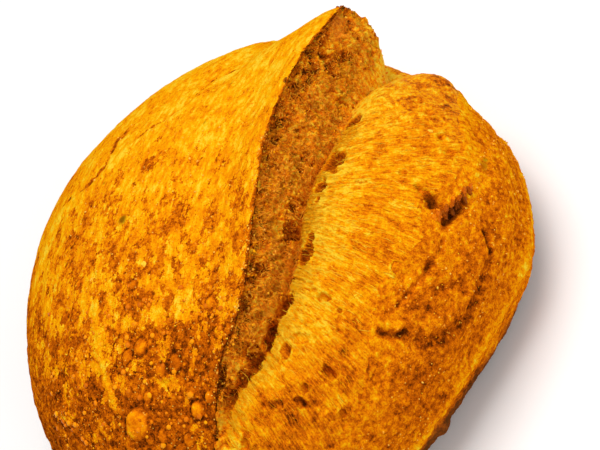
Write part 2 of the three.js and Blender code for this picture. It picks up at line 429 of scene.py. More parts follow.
def place_piece(mesh, places, marks, material):
    """Sets the mesh's vertices and marks, and lets it stand for the loaf."""
    set_places(mesh, places)
    for name, values in marks.items():
        set_mark(mesh, name, values)
    piece = bpy.data.objects.new(mesh.name, mesh)
    bpy.context.scene.collection.objects.link(piece)
    mesh.materials.append(material)
    mesh.polygons.foreach_set("use_smooth", np.ones(len(mesh.polygons), bool))
    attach(piece, "root")
    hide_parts("loaf")


def spread(turn, counts, stops):
    """Share 0 to 1 around the grid to a station, with so many columns between each pair of stops."""
    edges = np.cumsum([0] + counts) / sum(counts)
    return np.interp(turn, edges, stops)


# ---------------------------------------------------------------- materials
class Shade:
    """Short names for the shader nodes that the bread's finishes are made of."""

    def __init__(self, name):
        self.material = bpy.data.materials.new(name)
        self.material.use_nodes = True
        self.nodes = self.material.node_tree.nodes
        self.links = self.material.node_tree.links
        self.surface = self.nodes["Principled BSDF"]
        self.coords = self.nodes.new("ShaderNodeTexCoord").outputs["Object"]

    def feed(self, socket, value):
        if isinstance(value, bpy.types.NodeSocket):
            self.links.new(value, socket)
        else:
            socket.default_value = value

    def mark(self, name):
        node = self.nodes.new("ShaderNodeAttribute")
        node.attribute_name = name
        return node.outputs["Fac"]

    def noise(self, size, detail=2.0, roughness=0.55, stretch=None, vector=None, warp=0.0):
        node = self.nodes.new("ShaderNodeTexNoise")
        node.inputs["Scale"].default_value = 1 / (size * MM)
        node.inputs["Detail"].default_value = detail
        node.inputs["Roughness"].default_value = roughness
        node.inputs["Distortion"].default_value = warp
        self.feed(node.inputs["Vector"], self.squeeze(vector or self.coords, stretch))
        return node.outputs["Fac"]

    def squeeze(self, vector, stretch):
        if stretch is None:
            return vector
        node = self.nodes.new("ShaderNodeMapping")
        self.feed(node.inputs["Vector"], vector)
        node.inputs["Scale"].default_value = stretch
        return node.outputs["Vector"]

    def bent(self, size, reach):
        """Coordinates pushed about by noise, so that cells and lumps lose their even look."""
        node = self.nodes.new("ShaderNodeTexNoise")
        node.inputs["Scale"].default_value = 1 / (size * MM)
        self.feed(node.inputs["Vector"], self.coords)
        push = self.nodes.new("ShaderNodeVectorMath")
        push.operation = "MULTIPLY_ADD"
        self.feed(push.inputs[0], node.outputs["Color"])
        push.inputs[1].default_value = (reach * MM,) * 3
        self.feed(push.inputs[2], self.coords)
        return push.outputs[0]

    def pebbles(self, size, vector=None, feature="F1"):
        node = self.nodes.new("ShaderNodeTexVoronoi")
        node.feature = feature
        node.inputs["Scale"].default_value = 1 / (size * MM)
        self.feed(node.inputs["Vector"], vector or self.coords)
        return node.outputs["Distance"]

    def sum(self, kind, a, b=0.0, c=0.0):
        node = self.nodes.new("ShaderNodeMath")
        node.operation = kind
        for socket, value in zip(node.inputs, (a, b, c)):
            self.feed(socket, value)
        return node.outputs[0]

    def swing(self, value, middle, share, under):
        """Adds (value - middle) * share to what is under it."""
        return self.sum("MULTIPLY_ADD", self.sum("SUBTRACT", value, middle), share, under)

    def blend(self, share, a, b):
        """Number a where share is 0, b where it is 1."""
        return self.sum("MULTIPLY_ADD", share, self.sum("SUBTRACT", b, a), a)

    def band(self, value, low, high):
        """0 up to low, 1 from high on, or the other way round where low is the higher one."""
        node = self.nodes.new("ShaderNodeMapRange")
        node.interpolation_type = "SMOOTHSTEP"
        for socket, v in zip(node.inputs, (value, low, high, 0.0, 1.0)):
            self.feed(socket, v)
        return node.outputs[0]

    def ramp(self, value, stops):
        node = self.nodes.new("ShaderNodeValToRGB")
        marks = node.color_ramp.elements
        while len(marks) < len(stops):
            marks.new(0.5)
        for mark, (place, colour) in zip(marks, stops):
            mark.position = place
            mark.color = tint(colour, LIT_SHARE)
        self.feed(node.inputs["Fac"], value)
        return node.outputs["Color"]

    def mix(self, share, a, b):
        node = self.nodes.new("ShaderNodeMix")
        node.data_type = "RGBA"
        self.feed(node.inputs[0], share)
        self.feed(node.inputs[6], a)
        self.feed(node.inputs[7], b)
        return node.outputs[2]

    def bump(self, height, distance, strength):
        node = self.nodes.new("ShaderNodeBump")
        node.inputs["Distance"].default_value = distance * MM
        node.inputs["Strength"].default_value = strength
        self.feed(node.inputs["Height"], height)
        return node.outputs["Normal"]

    def finish(self, colour, roughness, normal=None, specular=0.15):
        self.feed(self.surface.inputs["Base Color"], colour)
        self.feed(self.surface.inputs["Roughness"], roughness)
        self.surface.inputs["Specular IOR Level"].default_value = specular
        self.surface.inputs["Specular Tint"].default_value = GLEAM
        if normal is not None:
            self.feed(self.surface.inputs["Normal"], normal)
        return self.material


def tint(colour, share=1.0):
    """sRGB 0-255 to the linear colour that shaders take."""
    c = np.array(colour[:3], float) / 255
    c = np.where(c <= 0.04045, c / 12.92, ((c + 0.055) / 1.055) ** 2.4)
    return (*(c * share).tolist(), 1.0)


# How the bread's colour goes from nearly burnt to dry flour, in sRGB, as seen in full light.
BAKE = [(0.0, (74, 30, 3)), (0.14, (124, 52, 4)), (0.3, (177, 80, 5)), (0.45, (214, 104, 6)),
        (0.6, (240, 132, 6)), (0.75, (253, 160, 6)), (0.88, (255, 186, 10)), (1.0, (255, 210, 50))]
# More red copy of the bake ramp for the torn wall under the ear: painted shade, its look in the ear's
# shadow.
SHADED_WALL_BAKE = [(0.0, (74, 30, 3)), (0.16, (132, 54, 5)), (0.32, (186, 80, 6)), (0.5, (232, 110, 10)),
             (0.75, (255, 148, 18)), (1.0, (255, 186, 44))]
LIT_SHARE = 0.95
GLEAM = (1.0, 0.58, 0.1, 1.0)
# painted shade down in pits, holes and the valley's trench
PIT_SHADE = (132, 62, 6)
CHAR_AND_SHADE = (66, 34, 6)
# underside colour: its darker-baked crust, partly painted shade
UNDERSIDE_AND_SHADE = (104, 62, 28)
RIND = (250, 144, 34)
# painted highlight: pale orange of light catching the wall's threads
PALE_THREAD_HIGHLIGHT = (255, 178, 46)
# painted highlight: the colour of glints on the crust and crumbs, and of the pale flakes
GLINT = (255, 198, 74)


def crust_material():
    s = Shade("baked_crust")
    bent = s.bent(2.4, 1.6)
    stir = s.sum("MULTIPLY_ADD", s.mark("calm"), -0.45, 1.0)
    pebble = s.pebbles(2.1, bent, "SMOOTH_F1")
    fine = s.noise(0.75, detail=3, roughness=0.7)
    medium = s.noise(2.4, detail=3, roughness=0.6)
    wide = s.noise(12, detail=2, roughness=0.5)
    drawn = s.noise(2.4, detail=3, roughness=0.65, stretch=(0.45, 1.0, 1.0))
    # bare skin: the tone from the mesh, stirred by grain of three sizes
    grain = s.sum("MULTIPLY", s.sum("SUBTRACT", 0.4, pebble), 0.45)
    grain = s.swing(medium, 0.5, 1.0, grain)
    grain = s.swing(fine, 0.5, 0.9, grain)
    skin = s.sum("MULTIPLY_ADD", grain, stir, s.swing(wide, 0.5, 0.35, s.mark("tone")))
    # flour, and where it covers the skin
    dust = s.swing(drawn, 0.5, 1.0, s.sum("MULTIPLY_ADD", s.mark("flour"), 0.3, 0.6))
    dust = s.swing(fine, 0.5, 0.55, s.swing(wide, 0.5, 0.5, dust))
    field = s.noise(5.6, detail=5, roughness=0.68, stretch=(0.62, 1.0, 1.0))
    field = s.swing(s.noise(1.4, detail=3, roughness=0.7), 0.5, 0.4, field)
    cover = s.band(s.sum("ADD", field, s.mark("flour")), 0.97, 1.05)
    tone = s.blend(cover, skin, dust)
    # dark dots and hairline cracks, in clumps
    clumped = s.sum("MULTIPLY", s.band(s.noise(8, detail=2), 0.45, 0.56), s.mark("dotted"))
    dots = s.band(s.pebbles(1.7, bent), 0.30, 0.14)
    tone = s.sum("MULTIPLY_ADD", s.sum("MULTIPLY", dots, clumped), -0.24, tone)
    cracked = s.sum("MULTIPLY", s.band(s.noise(10, detail=2), 0.5, 0.6), s.mark("dotted"))
    split = s.band(s.pebbles(3.4, bent, "DISTANCE_TO_EDGE"), 0.045, 0.01)
    tone = s.sum("MULTIPLY_ADD", s.sum("MULTIPLY", split, cracked), -0.25, tone)
    colour = s.ramp(tone, BAKE)
    # painted glints: pale specks where light would catch the crust
    glint_spots = s.band(s.pebbles(2.3), 0.17, 0.07)
    colour = s.mix(s.sum("MULTIPLY", glint_spots, s.mark("glint_share")), colour, tint(GLINT))
    # dark colour: burnt spots, and painted shade in the deeper cracks
    colour = s.mix(s.mark("char_and_shade"), colour, tint(CHAR_AND_SHADE))
    # underside: darker-baked crust, partly painted shade
    colour = s.mix(s.mark("under"), colour, tint(UNDERSIDE_AND_SHADE))
    height = s.sum("MULTIPLY_ADD", medium, 0.8, s.sum("MULTIPLY", pebble, -0.6))
    height = s.sum("MULTIPLY_ADD", fine, 0.7, height)
    normal = s.bump(s.sum("MULTIPLY", height, stir), 1.1, 0.85)
    return s.finish(colour, s.blend(cover, 0.5, 0.9), normal, specular=0.0)


def crumb_material():
    s = Shade("torn_crumb")
    uv = s.nodes.new("ShaderNodeUVMap")
    uv.uv_map = "pull"
    pull = uv.outputs["UV"]
    fibrous = s.mark("fibrous")
    fibres = s.noise(0.8, detail=3, roughness=0.65, stretch=(1.0, 0.15, 1.0), vector=pull)
    streaks = s.noise(3.2, detail=3, roughness=0.6, stretch=(1.0, 0.35, 1.0), vector=pull)
    lumps = s.noise(2.4, detail=3, roughness=0.7)
    fine = s.noise(0.7, detail=3, roughness=0.7)
    patches = s.band(s.noise(7.0, detail=3, roughness=0.6), 0.49, 0.62)
    tone = s.swing(lumps, 0.5, s.sum("MULTIPLY_ADD", fibrous, -1.2, 2.0), s.mark("tone"))
    tone = s.swing(fibres, 0.5, fibrous, tone)
    tone = s.swing(streaks, 0.5, s.sum("MULTIPLY", fibrous, 0.7), tone)
    tone = s.swing(fine, 0.5, 0.7, tone)
    tone = s.sum("SUBTRACT", tone, s.sum("MULTIPLY", patches, s.mark("patchy")))
    # pale threads along the lines where a warped noise crosses its middle; their paleness is painted
    # highlight
    threads = s.noise(3.2, detail=2, roughness=0.5, warp=0.9)
    threads = s.band(s.sum("ABSOLUTE", s.sum("SUBTRACT", threads, 0.5)), 0.035, 0.0)
    threads = s.sum("MULTIPLY", threads, s.sum("MULTIPLY_ADD", fibrous, -1.0, 1.0))
    # painted shade: the wall mark blends in the more red, shaded copy of the ramp
    wall_shade_share = s.sum("MULTIPLY", s.mark("wall"), 0.5)
    colour = s.mix(wall_shade_share, s.ramp(tone, BAKE), s.ramp(tone, SHADED_WALL_BAKE))
    colour = s.mix(s.sum("MULTIPLY", threads, 0.5), colour, tint(PALE_THREAD_HIGHLIGHT))
    colour = s.mix(s.mark("rind"), colour, tint(RIND))
    # painted shade in the pits, the torn hole and the trench
    colour = s.mix(s.mark("deep"), colour, tint(PIT_SHADE))
    height = s.sum("MULTIPLY_ADD", fine, 0.6, s.sum("MULTIPLY", threads, 0.25))
    height = s.sum("MULTIPLY_ADD", lumps, 0.8, height)
    normal = s.bump(s.sum("MULTIPLY_ADD", fibres, fibrous, height), 1.0, 0.9)
    return s.finish(colour, 0.8, normal, specular=0.03)


def strand_material(name, paler):
    s = Shade(name)
    tone = s.swing(s.noise(1.2, detail=2), 0.5, 0.35, s.mark("tone"))
    # wall strands take the shaded ramp (painted shade) and a pale mix (painted highlight)
    colour = s.mix(paler, s.ramp(tone, SHADED_WALL_BAKE if paler else BAKE), tint(PALE_THREAD_HIGHLIGHT))
    return s.finish(colour, 0.6, specular=0.12)


def bit_material(name, specular, roughness):
    s = Shade(name)
    tone = s.swing(s.noise(0.8, detail=2), 0.5, 0.3, s.mark("tone"))
    # pale mixes in the glint colour: painted highlight on crumbs, the real colour of the pale flakes
    colour = s.mix(s.mark("pale"), s.ramp(tone, BAKE), tint(GLINT))
    return s.finish(colour, roughness, specular=specular)


# ---------------------------------------------------------------- what the tear looks like
# along, round, half length, half width, turn, depth, in degrees and millimetres
VALLEY_PITS = [
    (31.0, 47.5, 5.0, 4.0, 0, 4.5), (15.5, 44.2, 8.4, 5.4, 8, 6.0), (6.5, 42.5, 4.6, 3.2, 0, 5.0),
    (-7.1, 36.4, 7.6, 3.8, -6, 6.5), (-14.6, 43.0, 6.8, 4.2, 6, 6.0), (-9.9, 43.8, 3.0, 2.0, 0, 2.5),
    (-29.9, 41.0, 8.0, 3.2, 10, 7.0), (-39.1, 39.3, 8.5, 2.9, -4, 7.0), (-45.9, 37.1, 5.2, 3.8, 0, 6.5),
    (-50.2, 34.8, 4.6, 2.7, 0, 5.5), (-55.3, 32.4, 4.4, 2.4, 0, 3.5), (-40.1, 45.9, 3.4, 2.6, 0, 1.8)]
WALL_PITS = [
    (36.9, 30.8, 2.6, 2.3, 0, 3.2), (34.7, 33.0, 2.4, 1.1, 0, 2.6), (25.7, 33.2, 1.8, 1.7, 0, 2.2),
    (24.3, 30.5, 1.3, 1.1, 0, 1.6), (28.7, 38.8, 1.6, 1.5, 0, 2.4), (21.9, 36.0, 1.1, 1.1, 0, 1.6),
    (15.3, 33.3, 1.7, 1.6, 0, 2.2), (13.9, 35.2, 2.2, 1.3, 0, 1.8), (13.1, 28.9, 0.9, 0.9, 0, 1.3),
    (40.7, 44.4, 2.4, 2.4, 0, 1.6), (40.7, 46.8, 1.4, 1.3, 0, 1.6), (0.5, 35.0, 3.0, 2.6, 0, 3.4),
    (-22.7, 32.8, 4.4, 2.8, 10, 3.4), (-27.3, 31.5, 4.4, 2.0, 0, 2.6), (-34.0, 31.6, 6.5, 1.9, 4, 2.6),
    (50.5, 42.8, 4.6, 2.4, 20, 6.0), (46.5, 40.2, 3.6, 2.8, 0, 7.0), (4.1, 36.5, 1.6, 3.0, 0, 2.0),
    (2.1, 42.8, 2.2, 1.4, 0, 2.2), (-52.1, 28.6, 8.0, 1.6, 0, 3.0), (52.0, 47.5, 2.6, 2.0, 0, 2.0),
    (44.5, 36.0, 2.6, 1.9, 0, 3.0), (48.5, 38.0, 3.2, 1.8, 30, 3.5), (-23.5, 33.0, 3.2, 2.4, 0, 3.0)]
BLOOM_PITS = [
    (22.1, 67.6, 1.7, 1.4, 0, 2.2), (26.5, 59.1, 3.2, 3.6, 20, 0.8), (30.1, 65.7, 2.2, 1.9, 0, 0.9),
    (34.5, 63.9, 2.4, 1.8, 0, 0.7), (18.1, 69.2, 2.2, 2.4, 0, 1.2), (18.9, 62.4, 0.8, 2.1, 0, 1.1),
    (10.9, 60.7, 1.1, 1.9, 0, 1.0), (6.5, 57.5, 0.8, 0.8, 0, 1.0), (-22.7, 47.2, 0.9, 1.6, 0, 1.6),
    (-24.1, 48.6, 0.9, 1.4, 0, 1.5), (-25.1, 51.6, 2.0, 3.1, -15, 2.4), (-26.5, 56.3, 1.3, 1.2, 0, 1.4),
    (-36.3, 49.0, 2.6, 4.6, -20, 1.3), (-39.7, 59.7, 2.1, 2.9, 0, 3.4), (-45.1, 55.4, 1.7, 1.8, 0, 2.0),
    (-48.1, 56.4, 1.9, 2.7, 0, 1.9), (-48.3, 59.0, 0.8, 0.8, 0, 1.0), (-45.1, 67.7, 1.4, 1.6, 0, 1.6),
    (-51.1, 50.1, 1.6, 1.6, 0, 0.9), (-52.7, 45.8, 2.0, 1.0, 0, 1.2), (-62.1, 44.7, 2.6, 2.0, 0, 1.4),
    (-12.3, 65.0, 2.2, 2.5, 10, 3.0), (7.5, 52.7, 0.9, 1.9, 0, 1.3), (-5.9, 57.7, 0.8, 0.8, 0, 0.9),
    (-18.5, 65.5, 2.6, 1.3, 30, 1.0), (-22.7, 64.7, 2.8, 1.1, 30, 0.9), (-31.0, 58.0, 1.0, 1.6, 0, 1.0)]
# along, round, half length, half width, and how much paler or darker
BLOOM_TONES = [(-33, 62, 18, 12, -0.10), (-62, 55, 16, 22, 0.09), (-45, 66, 12, 8, 0.05),
               (-5, 63, 14, 8, -0.05)]
WALL_TONES = [(-34, 35.5, 7, 4, 0.20), (-40, 34.5, 7, 3.5, 0.14), (-37, 31, 9, 2.4, -0.12),
              (-10, 31, 12, 3, -0.05), (28, 37, 9, 6, 0.08), (40, 40, 10, 9, 0.12),
              (47, 45.5, 8, 7, 0.10), (14, 34, 9, 5, 0.05)]
TORN_CORNER = [(8.2, 63.4), (6.4, 66.2), (4.8, 68.2)]
PULL_TURN = [(-90, -28), (-40, -18), (-10, -8), (15, 8), (40, 15), (90, 20)]
OPEN_ENDS = 0.07
CRUMB_END = 84.0
# where the bloom's colour starts: at the valley, but short of it up on the ear's tip
BLOOM_START = [(-90, 60), (30, 60), (38, 48), (45, 49), (52, 53), (60, 60), (90, 66)]
HOLE_SHARE = 0.62
WALL_PALEST = 0.84
# tone of the painted shade in pits and the trench
PIT_SHADE_TONE = 0.28
DEEP_ENOUGH = 1.4
PULL_STRETCH = 0.16
GASH_DEPTH = 5.0
TRENCH_WIDTH, TRENCH_DEPTH, TRENCH_OFF = 2.0, 2.2, 0.6
EAR_TIP = (57.5, 42.0, 6.5, 4.2)


def openness(along):
    """How far the tear is open: 1 along most of it, 0 at its ends."""
    return np.sqrt(np.clip((1 - np.abs(along) / CRUMB_END) / OPEN_ENDS, 0, 1))


def pull_map(along, round_):
    """Millimetres across and along the torn fibres."""
    x = along * MM_PER_DEGREE
    y = (round_ - 45) * MM_PER_DEGREE * np.cos(np.radians(along))
    turn = np.radians(through(PULL_TURN, along))
    return np.stack([x * np.cos(turn) - y * np.sin(turn), x * np.sin(turn) + y * np.cos(turn)], -1)


def patched(values, along, round_, patches, fray, full=0.4):
    """Adds each listed patch's amount inside its oval. fray is noise that ruffles the edge."""
    for *spot, more in patches:
        values = values + more * ease(1.3, full, oval(along, round_, spot) + fray)
    return values


def pits(along, round_, place, spots):
    """Depth of the listed bubbles and holes, and from 0 to 1 how deep in one each place is, how near
    a rim and how near the broken line inside it, which get a painted highlight and painted shade."""
    wobble = 1 + 0.34 * waves(place, 3.2, seed=91) + 0.2 * waves(place, 1.4, seed=92)
    depth, raised, inside, rims, edges = np.zeros((5, len(along)))
    part = ease(-0.1, 0.3, waves(place, 3.5, seed=93))
    for *spot, turn, deep in spots:
        out = oval(along, round_, spot, turn) * wobble
        well = ease(1.12, 0.5, out)
        rim = bell(out - 1.2, 0.22)
        depth = np.minimum(depth, -deep * well)
        raised = np.maximum(raised, 0.3 * min(deep, 1.6) * rim)
        inside = np.maximum(inside, ease(1.15, 0.8, out) * min(deep / 2.4, 1))
        rims = np.maximum(rims, rim * min(deep / 1.6, 1))
        edges = np.maximum(edges, bell(out - 0.88, 0.14) * part)
    return depth + raised * (1 - inside), inside, rims, edges


def in_pit(along, round_):
    found = np.zeros(np.shape(along), bool)
    for *spot, turn, deep in VALLEY_PITS + WALL_PITS + BLOOM_PITS:
        if deep > DEEP_ENOUGH:
            found |= oval(along, round_, spot, turn) < 1.0
    return found


def gash(along, round_):
    """The three-cornered hole in the bloom: 0 off it, 1 at its deep end."""
    far, share = off_line(along, round_, TORN_CORNER)
    return ease(1.0, 0.6, far / (0.6 + 2.6 * share)) * share ** 0.4


def torn_relief(along, station, place, round_):
    """Height of the torn crumb over the loaf's form, and its marks."""
    lip = through(LIP_ROUND, along)
    valley = np.maximum(through(VALLEY_ROUND, along), lip + LEAST_GAP)
    start = np.minimum(valley, through(BLOOM_START, along))
    wall = ease(start + 1.0, start - 1.5, round_)
    bloom = 1 - wall
    past = np.maximum(round_ - start, 0)
    low = ease(-28, -55, along)
    high = ease(18, 34, along)
    # drawn fibres on the bloom, a web of cells on the wall, and lumps on both
    flat = np.column_stack([pull_map(along, round_) * [1, PULL_STRETCH], np.zeros(len(along))])
    fibres = rough(flat, 1.5, seed=21, octaves=2, gain=0.6)
    near, second, kind = cells(place + 1.2 * rough(place, 3, seed=28, octaves=1)[:, None], 3.8, seed=26)
    web = bell(second - near, 0.5)
    relief = 0.5 * rough(place, 11, seed=22)
    lumps = (0.32 + 0.25 * low) * rough(place, 4.0, seed=23, octaves=2)
    relief += bloom * ((0.34 - 0.2 * high) * fibres + lumps)
    grit = rough(place, 1.7, seed=25, octaves=2, gain=0.6)
    relief += wall * (1.4 * rough(place, 5.5, seed=24, octaves=2) + 0.5 * grit)
    # dark gaps between strands near the valley: sunk, and given painted shade in the tone below
    gaps = bloom * np.clip(-1.6 * fibres - 0.15, 0, 1) * bell(past, 7) * (1 - high)
    relief -= 1.3 * gaps
    relief += wall * (0.9 * web - (0.5 + 2.0 * (kind < 0.4)) * (1 - web))
    near, _, kind = cells(place, 5.0, seed=29)
    small = ease(1.0, 0.3, near / (0.5 + 1.1 * kind)) * (kind < 0.3)
    relief -= 0.8 * small * bloom
    # the listed bubbles and holes, the valley's trench and the ear's smooth tip
    deep, inside, rims, _ = pits(along, round_, place, VALLEY_PITS + WALL_PITS)
    bubbles, in_bubble, bubble_rims, bubble_edges = pits(along, round_, place, BLOOM_PITS)
    hole = gash(along, round_)
    off = (round_ - valley - TRENCH_OFF) * MM_PER_DEGREE * np.cos(np.radians(along))
    trench = bell(off * (1 + 0.25 * waves(place, 5, seed=32)), TRENCH_WIDTH)
    trench = trench * ease(26, 14, along) * ease(-66, -57, along)
    tip = ease(1.3, 0.4, oval(along, round_, EAR_TIP) + 0.3 * waves(place, 5, seed=41))
    relief = relief * (1 - 0.75 * tip) + HOLE_SHARE * deep + 1.1 * bubbles
    relief = relief - GASH_DEPTH * hole - TRENCH_DEPTH * trench
    # how brown or pale: first the wall, then the bloom
    share = np.clip((round_ - lip) / np.maximum(start - lip, 1), 0, 1)
    # painted shade: the wall is darkest next to the lip, in its overhang's shadow
    on_wall = 0.30 + 0.36 * ease(0.03, 0.4, share) + 0.28 * web + 0.5 * waves(place, 6, seed=30) + 0.3 * grit
    on_wall = on_wall + 0.38 * waves(place, 2.8, seed=42) + 0.2 * waves(place, 13, seed=43)
    on_wall = patched(on_wall, along, round_, WALL_TONES, 0.3 * waves(place, 4, seed=47))
    on_wall = np.minimum(on_wall, WALL_PALEST)
    on_bloom = 0.98 - (0.25 + 0.19 * low) * ease(1, 24 - 12 * low, past) - 0.05 * high
    on_bloom = on_bloom + 0.22 * bell(along - 65, 7) - 0.36 * ease(68, 79, along)
    on_bloom += 0.3 * ease(60, 72, along) * waves(place, 5, seed=46)
    # painted shade: the bloom darker just past the valley, in the crease
    on_bloom = on_bloom - 0.15 * bell(past, 2.2) + 0.10 * waves(place, 9, seed=27)
    on_bloom += 0.12 * fibres * (1 - 0.6 * high)
    on_bloom = patched(on_bloom, along, round_, BLOOM_TONES, 0.3 * waves(place, 6, seed=35))
    # the gaps get painted shade
    tone = wall * on_wall + bloom * (on_bloom - 0.45 * gaps)
    # painted shade in small pits; painted highlight on the rims of pits and bubbles
    tone = tone - 0.25 * small * bloom + 0.10 * rims + 0.16 * bubble_rims
    # painted shade: pits and the valley's trench are darkened towards a dark tone
    hollow_shade = np.maximum(0.92 * inside, 0.6 * trench)
    # painted shade inside the bubbles and along the broken line in them
    tone = tone * (1 - hollow_shade) + PIT_SHADE_TONE * hollow_shade - 0.10 * in_bubble - 0.16 * bubble_edges
    # the wall mark also sets how much of the painted-shade ramp the crumb takes
    marks = {
        "tone": tone, "wall": wall, "fibrous": bloom * (1 - 0.65 * high),
        # deep: how much painted shade colour goes into pits, the torn hole and the trench
        "deep": np.max([0.2 * inside, 0.05 * in_bubble, 0.9 * hole, 0.1 * trench], axis=0),
        "patchy": bloom * (0.20 + 0.08 * high + 0.06 * low) * ease(3, 10, past), "rind": 0.75 * tip}
    return relief, marks


# ---------------------------------------------------------------- crust
CRUST_STOPS = [
    0, 1, 1.45, LIP, LIP + 0.02, LIP + 0.05, VALLEY, TEAR - 0.2, TEAR, TEAR + 0.45, FRONT_FOOT, 6]
CRUST_COLUMNS = [5, 46, 138, 2, 2, 5, 6, 9, 44, 33, 5]
CRUST_ROWS = 330
LIP_DROP, LIP_DROP_SHARE = 4.0, 0.04
LIP_EDGE, LIP_LINE = 60.0, 200.0
SKIN_THICK = 1.5
END_BLEND = (64, 86)
CORE_DEPTH = 16.0
# size, height, share of the cells that have one, seed
CHANCE_BLISTERS = [(4.2, 0.6, 0.35, 5), (7.5, 0.9, 0.3, 6), (13, 1.2, 0.2, 8)]
# along, round, half length, half width, height
BLISTERS = [
    (-63.5, -15.5, 6.2, 6.0, 3.2), (-60.0, 20.0, 3.4, 3.2, 2.1), (-66.5, 16.0, 2.4, 2.3, 1.5),
    (-66.5, -0.5, 3.0, 2.0, 1.4), (-58.5, -7.5, 2.3, 2.2, 1.3), (-60.5, -8.5, 1.9, 1.8, 1.1),
    (-56.5, 25.0, 2.3, 2.2, 1.4), (-51.5, 24.5, 1.8, 1.8, 1.1), (-47.0, -11.0, 3.8, 3.8, 1.6),
    (-48.5, -17.5, 2.8, 2.6, 1.3), (-53.0, -1.0, 2.4, 4.6, 1.6), (-51.0, 6.5, 3.6, 3.4, 1.1),
    (-40.0, 21.5, 2.4, 2.2, 1.2), (-35.5, 18.5, 3.2, 3.0, 1.4), (-23.5, -42.0, 2.2, 2.2, 0.9),
    (-29.5, -17.0, 3.0, 2.8, 0.9), (-31.0, -47.0, 2.4, 2.4, 0.9), (-67.0, -10.0, 2.0, 2.0, 1.0)]
# points (along, round), half width, and how much paler or darker
PALE_LINES = [
    ([(56, 8), (56, -10), (51, -17.5), (44, -20), (38, -23), (31, -31.5), (24, -37.5), (17, -42),
      (12, -45.5), (8.5, -50)], 1.9, 0.30),
    ([(42, 28.5), (36, 25.5), (32, 21.5), (27, 19.5), (22.5, 18.5), (16, 18)], 1.2, 0.35),
    ([(8, -54), (0, -61.5), (-7, -63), (-13, -65), (-17, -67)], 2.8, 0.30),
    ([(-15, -58), (-25, -57), (-33, -52)], 2.0, 0.22),
    ([(-32, -33), (-42.5, -31.5), (-49, -30), (-57, -27)], 2.4, 0.30)]
BROWN_LINES = [
    ([(57, -13), (53, -20), (45.5, -22.5), (40, -25), (32, -34), (28, -37)], 0.9, 0.20),
    ([(30, -49), (24, -46), (17, -45.5), (12, -48.5), (9, -53), (7.5, -57)], 1.5, 0.26),
    ([(3.5, 79.2), (1.9, 80.6), (-0.1, 82.1)], 0.9, 0.25)]
# along, round, half length, half width, and how much more or less flour
FLOUR_SPOTS = [
    (-36.5, 7.0, 9.0, 5.5, 0.22), (-34.0, -33.0, 4.0, 3.6, 0.20), (-40.0, -18.0, 5.0, 3.6, 0.18),
    (16.0, -23.5, 7.0, 6.0, -0.16), (11.0, -35.0, 5.0, 4.0, -0.14), (29.0, -46.0, 5.0, 3.0, -0.30),
    (25.0, 9.0, 5.0, 4.0, -0.12), (-9.0, 12.5, 6.5, 4.5, -0.12), (0.0, 21.0, 6.0, 4.0, -0.10),
    (-6.0, -50.0, 5.0, 4.0, -0.14), (-23.0, 22.0, 7.0, 4.0, 0.12), (-50.0, 8.0, 8.0, 7.0, -0.20),
    (-46.0, -13.0, 6.0, 6.0, -0.12), (-48.0, 20.0, 7.0, 5.0, -0.12), (-62.0, 0.0, 9.0, 14.0, -0.10)]
# points (along, round), half width, depth
CRACKS = [
    ([(3.5, 79.2), (1.9, 80.6), (-0.1, 82.1)], 0.8, 1.4),
    ([(-1.1, 82.9), (-3.5, 83.4), (-6.7, 83.9), (-9.7, 83.6), (-11.7, 83.3)], 1.8, 0.9),
    ([(-12.7, 74.5), (-11.3, 75.6), (-9.5, 78.6), (-9.3, 79.9)], 1.7, 0.8),
    ([(1.4, 71.0), (2.7, 71.4), (4.5, 72.3), (6.7, 73.4)], 1.7, 4.4),
    ([(6.2, 66.6), (5.2, 67.8), (4.2, 68.6)], 2.0, 5.0),
    ([(-2.6, 71.6), (-3.7, 71.7), (-5.9, 71.8)], 0.8, 1.0),
    ([(-7.9, 71.0), (-8.9, 71.0), (-10.2, 70.7)], 1.3, 2.8),
    ([(-11.5, 70.2), (-14.3, 69.6), (-17.3, 68.6), (-20.1, 67.8)], 0.9, 0.8),
    ([(-27.0, 66.5), (-25.9, 69.9), (-25.2, 71.0)], 1.3, 2.8),
    ([(-24.6, 71.4), (-24.2, 72.2)], 1.6, 3.6),
    ([(-24.3, 73.6), (-23.9, 77.2), (-21.1, 79.9), (-17.9, 82.8), (-12.7, 84.4)], 2.4, 1.3)]
BURNT_SPOTS = [(-5.3, -27.9, 3.4, 2.9, 0.75), (17.5, 77.0, 2.6, 2.0, 0.45), (19.5, 77.5, 1.4, 1.2, 0.5),
               (32.7, -6.2, 1.8, 0.7, 0.5), (49.0, -4.2, 1.4, 0.6, 0.5), (10.7, -41.6, 1.2, 1.0, 0.5)]


def under_crumb(along, station, place):
    """How far the crust drops away under the torn crumb, in millimetres."""
    open_ = openness(along)
    from_lip = station - LIP - (1 - open_) - 0.004 * (1 + waves(place, 2.6, seed=18))
    from_tear = TEAR - 0.06 - station - (1 - open_)
    wall = ease(0, LIP_DROP_SHARE, from_lip) * LIP_DROP
    bloom = ease(0, 0.10, from_tear) * SKIN_THICK + LIP_DROP * ease(0.2, 0.5, from_tear)
    middle = ease(0.1, 0.6, from_lip) * ease(0.0, 0.6, from_tear)
    return (np.minimum(wall, bloom) + CORE_DEPTH * middle) * (open_ > 0)


